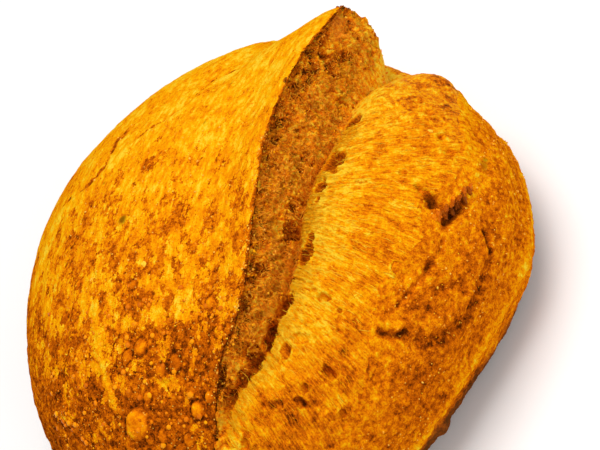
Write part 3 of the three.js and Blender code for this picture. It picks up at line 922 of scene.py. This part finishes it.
def domes(along, round_, place, left, back, far_back):
    """Blisters under the skin, chance ones all over and the listed ones: their height, how smooth each
    place is, and how near a blister's rim, the circle round its foot that gets painted shade."""
    lumps, calm, ring_shade = np.zeros((3, len(place)))
    for size, height, share, seed in CHANCE_BLISTERS:
        near, _, kind = cells(place, size, seed)
        dome = np.sqrt(np.clip(1 - (near / (size * (0.25 + 0.25 * kind))) ** 2, 0, 1))
        some = (kind < share) * (0.14 + 0.86 * np.maximum(left, 0.6 * far_back)) * back
        lumps = np.maximum(lumps, height * dome * some)
    wobble = 1 + 0.22 * waves(place, 6, seed=34)
    for *spot, height in BLISTERS:
        out = oval(along, round_, spot) * wobble
        ring_shade = np.maximum(ring_shade, bell(out - 1.12, 0.16))
        dome = np.clip(1 - out ** 2, 0, 1) ** 0.6
        lumps = np.maximum(lumps, height * dome) - 0.35 * bell(out - 1.15, 0.16)
        calm = np.maximum(calm, ease(1.05, 0.75, out))
    return lumps, calm, ring_shade


def draw_lines(along, round_, place, relief, tone, flour):
    """Draws the flour ridges, brown lines, cracks and burnt spots into the crust's height, tone and
    flour, and gives how dark each place is: charred at burnt spots, painted shade in deeper cracks."""
    uneven = 0.75 + 0.45 * waves(place, 5, seed=14)
    for points, width, paler in PALE_LINES:
        dust = bell(off_line(along, round_, points)[0], width)
        flour = flour + paler * dust * uneven
        relief = relief + 0.5 * dust
    uneven = 0.8 + 0.6 * waves(place, 5, seed=20)
    for points, width, darker in BROWN_LINES:
        line = bell(off_line(along, round_, points)[0], width) * uneven
        flour = flour - 1.4 * darker * line
        tone = tone - darker * line
        relief = relief - 0.4 * line
    char_and_shade = np.zeros(len(place))
    uneven = 1 + 0.45 * waves(place, 3, seed=15)
    # cracks: painted shade down in them, deeper ones darker, and a painted highlight on the raised band
    # beside
    for points, width, depth in CRACKS:
        far, share = off_line(along, round_, points)
        far = far * uneven
        cut = bell(far, width) * ease(0, 0.12, share + 0.05) * ease(1.05, 0.88, share)
        relief = relief - depth * cut + 0.5 * bell(far - 2.2 * width, width)
        char_and_shade = np.maximum(char_and_shade, np.clip(0.28 * (depth - 1.6), 0, 0.75) * cut ** 2)
        tone = tone + 0.08 * bell(far - 2.4 * width, 0.8 * width)
        tone = tone - (0.09 + 0.06 * depth) * bell(far, 1.2 * width)
    uneven = 1 + 0.4 * waves(place, 2.5, seed=16)
    for *spot, dark in BURNT_SPOTS:
        char_and_shade = np.maximum(char_and_shade, dark * ease(1.2, 0.4, oval(along, round_, spot) * uneven))
    return relief, tone, flour, char_and_shade


def crust_relief(along, station, place, round_):
    """Height of the crust over the loaf's form, and its marks."""
    at_end = ease(*END_BLEND, np.abs(along) + 3 * waves(place, 9, seed=37))
    side = ease(TEAR - 0.3, TEAR, station) * (1 - at_end) + 0.5 * at_end
    back = ease(LIP, LIP - 0.02, station)
    left = ease(-5, -55, along)
    far_back = ease(-64, -90, round_) * (1 - at_end) + 0.5 * at_end
    relief = 0.5 * waves(place, 26, seed=1) + 0.25 * rough(place, 9, seed=2)
    relief += rough(place, 2.9, seed=3, octaves=2, gain=0.6) * (0.16 + 0.22 * side + 0.26 * left)
    relief += 0.4 * left * back * rough(place, 6.5, seed=38, octaves=2)
    relief += 0.7 * side * rough(place, 8, seed=9, octaves=2)
    lumps, calm, ring_shade = domes(along, round_, place, left, back, far_back)
    relief += lumps
    # tone and flour of the floured back, with the blisters bare
    # painted highlight and shade: lighter towards each blister's top, darker round its foot
    tone = 0.48 - 0.13 * left + 0.05 * waves(place, 14, seed=11) + 0.10 * np.clip(lumps / 1.5, 0, 1)
    on_blister = 0.02 + 0.13 * np.clip(lumps / 2, 0, 1) ** 2 + 0.2 * waves(place, 5, seed=39)
    tone = tone + calm * on_blister - 0.2 * ring_shade
    relief += 0.35 * calm * waves(place, 3.5, seed=40)
    flour = 0.62 + 0.12 * ease(15, 42, along) - 0.11 * ease(16, -18, along)
    flour = flour - 0.12 * ease(-35, -70, along) - 0.14 * far_back
    flour = flour - 0.08 * ease(-48, -60, round_) * left + 0.06 * waves(place, 18, seed=12)
    flour = flour - 0.45 * calm - 0.3 * ring_shade
    # the side below the tear, browner and with less flour
    upper = ease(0, 40, along)
    on_side = 0.50 + 0.09 * upper + 0.10 * bell(station - TEAR, 0.12)
    on_side += 0.12 * rough(place, 15, seed=13, octaves=2)
    on_side -= 0.12 * bell(along + 24, 16) * bell(round_ - 80, 12)
    # painted light: this corner of the side, turned from the lamps, is made paler
    on_side += 0.1 * ease(50, 62, along) * ease(114, 102, round_)
    tone = tone * (1 - side) + on_side * side
    flour = flour * (1 - side) + (0.30 + 0.06 * upper) * side
    flour = patched(flour, along, round_, FLOUR_SPOTS, 0.25 * waves(place, 5, seed=19), full=0.5)
    relief, tone, flour, char_and_shade = draw_lines(along, round_, place, relief, tone, flour)
    # the ear's lip: a dark broken line on its edge, and bare brown crust over the edge
    open_ = openness(along)
    edge = bell((station - LIP) * LIP_EDGE, 1.0) * open_
    line = bell((station - LIP) * LIP_LINE, 1.0) * open_ * (0.8 + 0.6 * waves(place, 6, seed=33))
    # partly painted shade: the dark line is the lip's cut edge and the shadow under it
    tone -= 0.34 * line
    flour -= 0.7 * line
    relief += edge * 0.5 * waves(place, 3, seed=17)
    over = ease(LIP, LIP + 0.02, station) * ease(VALLEY, LIP + 0.3, station) * open_
    # partly painted shade: the bare crust over the edge is made darker, as in the lip's shadow
    tone = tone * (1 - over) + 0.06 * over
    flour = flour * (1 - over)
    calm = np.maximum(calm, over)
    # the raised rim low on the side, painted lighter as highlight, and the browner underside with a
    # ragged edge, partly darker-baked crust and partly painted shade
    height = place[:, 2]
    relief = relief * ease(0, 3, height)
    rim = bell(height - RIM_HEIGHT, 3.2) * side * (1 - 0.6 * ease(42, 62, along))
    rim = rim * (1 + 0.5 * waves(place, 12, seed=44))
    below = RIM_HEIGHT - 3 - 9 * ease(-34, -4, along) * side
    below = below + 4 * waves(place, 22, seed=36) + 2.5 * waves(place, 8, seed=45)
    # darker underside: partly darker-baked crust, partly painted shade where it faces from the light
    shade = ease(below + 3 * (1 - side), below - 11 - 7 * (1 - side), height)
    tone = tone + 0.26 * rim - 0.3 * shade
    flour = flour + 0.14 * rim - 0.5 * shade
    marks = {
        "tone": tone, "flour": np.clip(flour, 0, 1), "char_and_shade": char_and_shade, "calm": calm,
        "glint_share": (0.3 + 0.5 * left) * (1 - side), "dotted": (1 - side) * (1 - calm),
        "under": (0.5 + 0.2 * side) * shade}
    return relief, marks


def make_crust():
    mesh, around, lengthwise = closed_grid("baked_crust", sum(CRUST_COLUMNS), CRUST_ROWS)
    along = 90 * lengthwise
    station = spread(around, CRUST_COLUMNS, CRUST_STOPS)
    place, normal, round_ = skin(along, station)
    relief, marks = crust_relief(along, station, place, round_)
    sunk = inner_way(along, station, normal) * under_crumb(along, station, place)[:, None]
    places = place + normal * relief[:, None] - sunk
    place_piece(mesh, places, marks, crust_material())


# ---------------------------------------------------------------- torn crumb
CRUMB_COLUMNS = [44, 112, 10]
CRUMB_ROWS = 560
FAR_EDGE = 0.07
LIP_GROOVE, FAR_DIVE = 0.5, 7.0
CORE_SINK, END_SINK = 13, 2.5


def make_crumb():
    mesh, around, lengthwise = closed_grid("torn_crumb", sum(CRUMB_COLUMNS), CRUMB_ROWS)
    along = CRUMB_END * lengthwise
    open_ = openness(along)
    station = spread(around, CRUMB_COLUMNS, [LIP, VALLEY, TEAR + FAR_EDGE, LIP])
    shown_part = sum(CRUMB_COLUMNS[:2]) / sum(CRUMB_COLUMNS)
    inner = around > shown_part
    hidden = np.clip((around - shown_part) / (1 - shown_part), 0, 1)
    station = VALLEY + (station - VALLEY) * open_
    place, normal, round_ = skin(along, station)
    relief, marks = torn_relief(along, station, place, round_)
    shown = np.where(inner, 0, open_)
    groove = LIP_GROOVE + 0.4 * ease(12, -6, along)
    edge = 0.3 + groove * ease(LIP + 0.15, LIP, station)
    edge = edge + FAR_DIVE * ease(TEAR - 0.06, TEAR + FAR_EDGE, station)
    sink = np.where(inner, CORE_SINK * np.sin(np.pi * hidden) ** 0.6, 0) * open_ + END_SINK * (1 - open_)
    relief = relief * (0.25 + 0.75 * ease(LIP, LIP + 0.14, station))
    sunk = inner_way(along, station, normal) * (edge + sink)[:, None]
    set_map(mesh, "pull", pull_map(along, round_))
    places = place + normal * (relief * shown)[:, None] - sunk
    place_piece(mesh, places, marks, crumb_material())


# ---------------------------------------------------------------- fibres
FIBRE_RINGS = 6
FIBRE_SAG, FIBRE_SUNK = 1.8, 0.3
CROSSING_SHARE = 0.05
# reach along the loaf, then least and most length and thickness in millimetres, for each kind of strand
FRINGE_ALONG, FRINGE_LENGTH, FRINGE_THICK = (-62, 32), (1.6, 4.2), (0.15, 0.30)
BLOOM_ALONG, STRAND_LENGTH, STRAND_THICK = (-0.93, 0.55), (2.0, 6.5), (0.16, 0.36)
WEB_ALONG, WEB_LENGTH, WEB_THICK = (-0.85, 0.86), (1.4, 4.4), (0.18, 0.42)
FRINGE_SPREAD, STRAND_SPREAD, WEB_STRETCH = 18, 15, 1.4
# how far past the valley strands begin, and the room that is left for both ends, in degrees
FRINGE_START, STRAND_START, STRAND_MARGIN = 2.8, 3.2, 4.2


def clear_first(dice, along, round_, run):
    """Order that puts the strands that keep out of the pits first, but for a few that cross one."""
    hit = dice.uniform(0, 1, len(along)) > CROSSING_SHARE
    blocked = np.zeros(len(along), bool)
    across = MM_PER_DEGREE * np.cos(np.radians(along))
    for t in (0, 0.5, 1):
        blocked |= in_pit(along + t * run[:, 0] / MM_PER_DEGREE, round_ + t * run[:, 1] / across)
    return np.argsort(hit & blocked, kind="stable")


def fibre_blank(bm):
    bmesh.ops.create_uvsphere(bm, u_segments=3, v_segments=FIBRE_RINGS, radius=1)


def make_fibres(name, choose, doublings, seed, paler=0.0):
    """Thin tapered strands of crumb. choose gives each one's root (along, round), its run in millimetres
    along and around the loaf, its sideways bow, its lift at root, middle and tip, its thickness and tone."""
    mesh, small, count = strewn(name, fibre_blank, doublings)
    dice = np.random.default_rng(seed)
    drawn = choose(dice, 2 * count)
    kept = clear_first(dice, *drawn[:3])[:count]
    along, round_, run, bow, lift, thick, tone = [values[kept] for values in drawn]
    # each vertex's share from root to tip, and its turn about the strand
    t = np.arccos(np.clip(-small[:, 2], -1, 1)) / np.pi
    turn = np.arctan2(small[:, 1], small[:, 0])
    t_all = np.tile(t, (count, 1))
    arch = np.sin(np.pi * t_all)
    sway = bow[:, None] * arch
    side = np.stack([-run[:, 1], run[:, 0]], 1) / np.maximum(np.hypot(*run.T), 1e-6)[:, None]
    x = run[:, :1] * t_all + side[:, :1] * sway
    y = run[:, 1:] * t_all + side[:, 1:] * sway
    at_along = (along[:, None] + x / MM_PER_DEGREE).ravel()
    at_round = (round_[:, None] + y / (MM_PER_DEGREE * np.cos(np.radians(along))[:, None])).ravel()
    station = np.clip(torn_station(at_along, at_round), LIP + 0.15, TEAR + FAR_EDGE)
    place, normal, rounds = skin(at_along, station)
    relief = torn_relief(at_along, station, place, rounds)[0].reshape(count, -1)
    floor = np.maximum(relief, relief.max(1, keepdims=True) - FIBRE_SAG)
    up = (lift[:, :1] * (1 - t_all) + lift[:, 2:] * t_all) + lift[:, 1:2] * arch
    wide = np.sin(np.pi * np.clip(t_all * 0.96 + 0.02, 0, 1)) ** 0.5 * thick[:, None] / 2
    height = floor + up - FIBRE_SUNK + np.cos(turn)[None] * wide
    across = np.sin(turn)[None] * wide
    angle = np.radians(at_along)
    ahead = np.stack([np.cos(angle), np.zeros(t_all.size), -np.sin(angle)], 1)
    aside = np.cross(normal, ahead)
    side = np.repeat(side, len(t), axis=0)
    sideways = ahead * side[:, :1] - aside * side[:, 1:]
    places = place + normal * height.ravel()[:, None] + sideways * across.ravel()[:, None]
    marks = {"tone": np.repeat(tone, len(t))}
    place_piece(mesh, places, marks, strand_material(name, paler))


def even_along(dice, reach, count):
    """Angles that fall evenly on the loaf's length, between two shares of it (-1 to 1)."""
    return np.degrees(np.arcsin(dice.uniform(*reach, count)))


def pulled(dice, count, along, length, spread_turn):
    """Runs that follow the way the crumb was pulled, towards the valley."""
    turn = np.radians(through(PULL_TURN, along) + dice.normal(0, spread_turn, count))
    return -np.stack([np.sin(turn), np.cos(turn)], 1) * length[:, None]


def choose_fringe(dice, count):
    """Short pale strands on the bloom's edge, just past the valley."""
    along = dice.uniform(*FRINGE_ALONG, count)
    past = dice.gamma(1.6, 1.5, count)
    round_ = through(VALLEY_ROUND, along) + past + FRINGE_START
    length = dice.uniform(*FRINGE_LENGTH, count)
    run = pulled(dice, count, along, length, FRINGE_SPREAD)
    bow = dice.normal(0, 0.4, count)
    lift = np.stack([np.full(count, -0.2), dice.uniform(0.1, 0.7, count), dice.uniform(0.0, 1.2, count)], 1)
    thick = dice.uniform(*FRINGE_THICK, count)
    tone = dice.uniform(0.74, 1.0, count)
    return along, round_, run, bow, lift, thick, tone


def choose_bloom(dice, count):
    """Strands all over the bloom, more and paler ones near the valley."""
    along = even_along(dice, BLOOM_ALONG, count)
    share = dice.uniform(0, 1, count) ** 1.25
    valley, tear = through(VALLEY_ROUND, along), through(TEAR_ROUND, along)
    round_ = valley + STRAND_START + (tear - valley - STRAND_MARGIN) * share
    length = dice.uniform(*STRAND_LENGTH, count)
    run = pulled(dice, count, along, length, STRAND_SPREAD)
    bow = dice.normal(0, 0.45, count)
    lift = np.stack([np.full(count, -0.25), dice.uniform(0.05, 0.45, count), np.full(count, -0.2)], 1)
    thick = dice.uniform(*STRAND_THICK, count)
    tone = 0.98 - 0.30 * share + dice.normal(0, 0.13, count) - 0.26 * ease(-30, -58, along)
    return along, round_, run, bow, lift, thick, tone


def choose_web(dice, count):
    """Strands that cross each other on the wall under the ear."""
    along = even_along(dice, WEB_ALONG, count)
    lip = through(LIP_ROUND, along)
    start = np.minimum(through(VALLEY_ROUND, along), through(BLOOM_START, along))
    round_ = lip + (start - lip) * dice.uniform(0.15, 1.1, count)
    turn = dice.uniform(0, 2 * np.pi, count)
    length = dice.uniform(*WEB_LENGTH, count)
    run = np.stack([WEB_STRETCH * np.cos(turn), np.sin(turn)], 1) * length[:, None]
    bow = dice.normal(0, 0.8, count)
    lift = np.stack([np.full(count, -0.2), dice.uniform(0.1, 0.9, count), np.full(count, -0.2)], 1)
    thick = dice.uniform(*WEB_THICK, count)
    tone = dice.normal(0.74, 0.18, count)
    return along, round_, run, bow, lift, thick, tone


# ---------------------------------------------------------------- beads, crumbs and torn shreds
# keeps the lumps of two bits from being alike
APART = 7.3
# least size, and how much larger the largest is, in millimetres
BEAD_SIZE, WALL_CRUMB_SIZE, CRUST_CRUMB_SIZE = (0.35, 1.0), (0.16, 0.30), (0.14, 0.26)
WALL_CRUMBS_ALONG, CRUST_CRUMBS_ALONG, LIP_CRUMBS_ALONG = (-0.84, 0.88), (-0.95, 0.6), (-58, 20)
LIP_CRUMB_SHARE, SIDE_CRUMB_SHARE = 0.12, 0.6


def make_bits(name, blank, choose, relief_of, doublings, seed, lumpy, sunk, specular, roughness):
    """Small solid bits strewn on the loaf. choose gives each one's place (along, station), its half sizes
    along, around and upward in millimetres, its turn in degrees, its tone and its paleness."""
    mesh, small, count = strewn(name, blank, doublings)
    along, station, sizes, turn, tone, pale = choose(np.random.default_rng(seed), count)
    place, normal, round_ = skin(along, station)
    relief = relief_of(along, station, place, round_)[0]
    ahead = form(along + NUDGE, station)[0] - form(along - NUDGE, station)[0]
    ahead /= np.linalg.norm(ahead, axis=1, keepdims=True)
    aside = np.cross(normal, ahead)
    turn = np.radians(turn)[:, None]
    long_way = ahead * np.cos(turn) + aside * np.sin(turn)
    wide_way = aside * np.cos(turn) - ahead * np.sin(turn)
    at = place + normal * (relief + sizes[:, 2] * (1 - 2 * sunk))[:, None]
    spot = np.repeat(np.arange(count), len(small))
    local = np.tile(small, (count, 1)) * sizes[spot]
    grain = rough(local + APART * at[spot], 1.1 * np.median(sizes), seed=61, octaves=2, gain=0.7)
    local *= (1 + lumpy * grain)[:, None]
    places = at[spot] + long_way[spot] * local[:, :1] + wide_way[spot] * local[:, 1:2]
    places = places + normal[spot] * local[:, 2:]
    marks = {"tone": tone[spot], "pale": pale[spot]}
    place_piece(mesh, places, marks, bit_material(name, specular, roughness))


def bead_blank(bm):
    bmesh.ops.create_uvsphere(bm, u_segments=8, v_segments=5, radius=1)


def crumb_blank(bm):
    bmesh.ops.create_icosphere(bm, subdivisions=1, radius=1)


def shred_blank(bm):
    bmesh.ops.create_uvsphere(bm, u_segments=28, v_segments=16, radius=1)


def mostly_small(dice, least, more, power, count):
    """Sizes from least to least + more, the more of them small the higher the power."""
    return least + more * dice.uniform(0, 1, count) ** power


def choose_beads(dice, count):
    """Glossy little blisters on the back near the loaf's -X end."""
    along = -26 - 54 * dice.uniform(0, 1, count) ** 0.7
    station = dice.uniform(1.42, LIP - 0.02, count)
    size = mostly_small(dice, *BEAD_SIZE, 3, count)
    sizes = np.stack([size * dice.uniform(0.85, 1.3, count), size, 0.62 * size], 1)
    tone = dice.uniform(0.42, 0.80, count)
    return along, station, sizes, dice.uniform(0, 180, count), tone, np.zeros(count)


def choose_wall_crumbs(dice, count):
    """Loose crumbs on the wall under the ear, more of them near the lip."""
    along = even_along(dice, WALL_CRUMBS_ALONG, count)
    station = LIP + 0.13 + 0.82 * dice.uniform(0, 1, count) ** 1.4
    size = mostly_small(dice, *WALL_CRUMB_SIZE, 2, count)
    sizes = size[:, None] * dice.uniform(0.6, 1.6, (count, 3))
    tone = dice.uniform(0.40, 0.85, count)
    # paleness here is a painted glint
    pale = 0.6 * dice.uniform(0, 1, count) ** 3
    return along, station, sizes, dice.uniform(0, 180, count), tone, pale


def choose_crust_crumbs(dice, count):
    """Loose crumbs on the crust: on the side below the tear, on the back, and some on the ear's lip."""
    along = even_along(dice, CRUST_CRUMBS_ALONG, count)
    on_lip = dice.uniform(0, 1, count) < LIP_CRUMB_SHARE
    on_side = dice.uniform(0, 1, count) < SIDE_CRUMB_SHARE
    below_tear = dice.uniform(TEAR + 0.02, TEAR + 0.5, count)
    station = np.where(on_side, below_tear, dice.uniform(1.45, LIP, count))
    station = np.where(on_lip, LIP - 0.002 - 0.012 * dice.uniform(0, 1, count), station)
    along = np.where(on_lip, dice.uniform(*LIP_CRUMBS_ALONG, count), along)
    size = mostly_small(dice, *CRUST_CRUMB_SIZE, 2, count)
    sizes = size[:, None] * dice.uniform(0.6, 1.8, (count, 3))
    tone = dice.uniform(0.5, 0.95, count)
    # paleness here is a painted glint
    pale = dice.uniform(0, 1, count) ** 1.5
    return along, station, sizes, dice.uniform(0, 180, count), tone, pale


SHRED_FLOOR = (-1.0, 1.5)
# 16 of them, which is 4 doublings: along, round, half length, half width, half height, turn, tone, paleness
SHREDS = [
    (2.4, 69.4, 2.0, 1.0, 0.9, 10, 0.42, 0), (3.2, 70.4, 2.2, 0.9, 1.3, 60, 0.22, 0),
    (4.4, 70.4, 2.4, 0.9, 1.5, 30, 0.30, 0), (4.9, 71.5, 2.4, 1.0, 1.2, 75, 0.12, 0),
    (5.9, 71.2, 2.2, 0.8, 1.6, 35, 0.34, 0), (6.5, 72.3, 2.4, 1.1, 1.3, 55, 0.14, 0),
    (7.6, 72.3, 2.2, 0.8, 1.6, 20, 0.30, 0), (8.0, 73.2, 2.4, 1.0, 1.2, 70, 0.16, 0),
    (9.2, 73.0, 2.2, 0.8, 1.3, 35, 0.36, 0), (9.9, 74.0, 2.0, 0.9, 1.0, 55, 0.22, 0),
    (11.0, 74.3, 1.8, 0.8, 0.8, 40, 0.42, 0), (1.6, 68.6, 1.4, 0.8, 0.6, 30, 0.55, 0),
    (3.6, 69.2, 1.3, 0.6, 1.0, 80, 0.60, 0), (6.9, 71.2, 1.2, 0.5, 1.0, 75, 0.60, 0),
    (-23.3, -13.6, 1.5, 1.1, 0.5, 20, 0.95, 0.3), (23.5, 65.4, 1.0, 0.6, 0.5, 60, 0.95, 0.4)]


def choose_shreds(_dice, _count):
    """The listed shreds of the torn flap, and two pale flakes."""
    along, round_, long, wide, tall, turn, tone, pale = np.array(SHREDS, float).T
    lines = stations(along)
    on_side = TEAR + (round_ - lines[TEAR]) / (lines[FRONT_FOOT] - lines[TEAR])
    on_back = 1 + (round_ - lines[1]) / (lines[LIP] - lines[1])
    station = np.where(round_ > lines[TEAR], on_side, torn_station(along, round_))
    station = np.where(round_ < lines[LIP], on_back, station)
    sizes = np.stack([long, wide, tall], 1)
    return along, station, sizes, turn, tone, pale


def shred_floor(along, station, place, round_):
    """Shreds lie on the crust, but neither down in a crack nor up on a blister."""
    crust = crust_relief(along, station, place, round_)[0]
    return np.clip(crust, *SHRED_FLOOR), {}


# ---------------------------------------------------------------- studio
CAMERA_TURN, CAMERA_RISE, CAMERA_ROLL = -42.0, 48.0, 42.0
CAMERA_DISTANCE = 0.8
CAMERA_LENS, CAMERA_SENSOR = 109.27, 36.0
CAMERA_NEAR, CAMERA_FAR = 0.01, 20
AIM_HEIGHT = 0.045
# from the loaf's middle to the middle of the picture, in metres
AIM_RIGHT, AIM_UP = 0.0171, 0.0208
FLOOR_HALF, FLOOR_COLOUR = 3, (250, 250, 249)
SKY_STRENGTH = 0.5
LAMP_AIM = (0, 0, 0.05)
# name, place, size, power
LAMPS = [("overhead", (0.2, -0.05, 1.3), 0.9, 11.5), ("front", (-0.5, -1.0, 0.8), 0.8, 3.5)]


def make_camera():
    turn, rise, roll = np.radians([CAMERA_TURN, CAMERA_RISE, CAMERA_ROLL])
    back = np.array([np.sin(turn) * np.cos(rise), -np.cos(turn) * np.cos(rise), np.sin(rise)])
    level = np.cross(-back, [0, 0, 1])
    level /= np.linalg.norm(level)
    upright = np.cross(level, -back)
    right = np.cos(roll) * level - np.sin(roll) * upright
    up = np.sin(roll) * level + np.cos(roll) * upright
    aim = SHIFT * MM + [0, 0, AIM_HEIGHT] + right * AIM_RIGHT + up * AIM_UP
    data = bpy.data.cameras.new("camera")
    data.lens, data.sensor_width, data.sensor_fit = CAMERA_LENS, CAMERA_SENSOR, "HORIZONTAL"
    data.clip_start, data.clip_end = CAMERA_NEAR, CAMERA_FAR
    camera = bpy.data.objects.new("camera", data)
    turned = Matrix((right, up, back)).transposed().to_4x4()
    camera.matrix_world = Matrix.Translation(Vector(aim + back * CAMERA_DISTANCE)) @ turned
    bpy.context.scene.collection.objects.link(camera)
    bpy.context.scene.camera = camera


def make_light(name, place, size, power):
    data = bpy.data.lights.new(name, "AREA")
    data.shape, data.size, data.energy = "DISK", size, power
    lamp = bpy.data.objects.new(name, data)
    lamp.location = place
    lamp.rotation_euler = (Vector(LAMP_AIM) - Vector(place)).to_track_quat("-Z", "Y").to_euler()
    bpy.context.scene.collection.objects.link(lamp)


def make_studio():
    bm = bmesh.new()
    bmesh.ops.create_grid(bm, x_segments=1, y_segments=1, size=FLOOR_HALF)
    mesh = bpy.data.meshes.new("floor")
    bm.to_mesh(mesh)
    bm.free()
    floor = bpy.data.objects.new("floor", mesh)
    bpy.context.scene.collection.objects.link(floor)
    mesh.materials.append(Shade("pale_floor").finish(tint(FLOOR_COLOUR), 0.8))
    world = bpy.data.worlds.new("studio")
    world.use_nodes = True
    world.node_tree.nodes["Background"].inputs["Color"].default_value = (1, 1, 1, 1)
    world.node_tree.nodes["Background"].inputs["Strength"].default_value = SKY_STRENGTH
    bpy.context.scene.world = world
    for lamp in LAMPS:
        make_light(*lamp)
    bpy.context.scene.view_settings.view_transform = "Standard"
    bpy.context.scene.view_settings.look = "None"


make_camera()
make_studio()
make_crust()
make_crumb()
make_fibres("fringe_fibres", choose_fringe, doublings=11, seed=41)
make_fibres("bloom_fibres", choose_bloom, doublings=12, seed=42)
make_fibres("wall_web", choose_web, doublings=12, seed=43, paler=0.16)
make_bits("crust_beads", bead_blank, choose_beads, crust_relief, doublings=9, seed=51,
          lumpy=0.1, sunk=0.55, specular=0.25, roughness=0.45)
make_bits("wall_crumbs", crumb_blank, choose_wall_crumbs, torn_relief, doublings=11, seed=52,
          lumpy=0.4, sunk=0.3, specular=0.12, roughness=0.6)
make_bits("crust_crumbs", crumb_blank, choose_crust_crumbs, crust_relief, doublings=10, seed=53,
          lumpy=0.4, sunk=0.3, specular=0.12, roughness=0.6)
make_bits("torn_shreds", shred_blank, choose_shreds, shred_floor, doublings=4, seed=54,
          lumpy=0.5, sunk=0.4, specular=0.3, roughness=0.6)
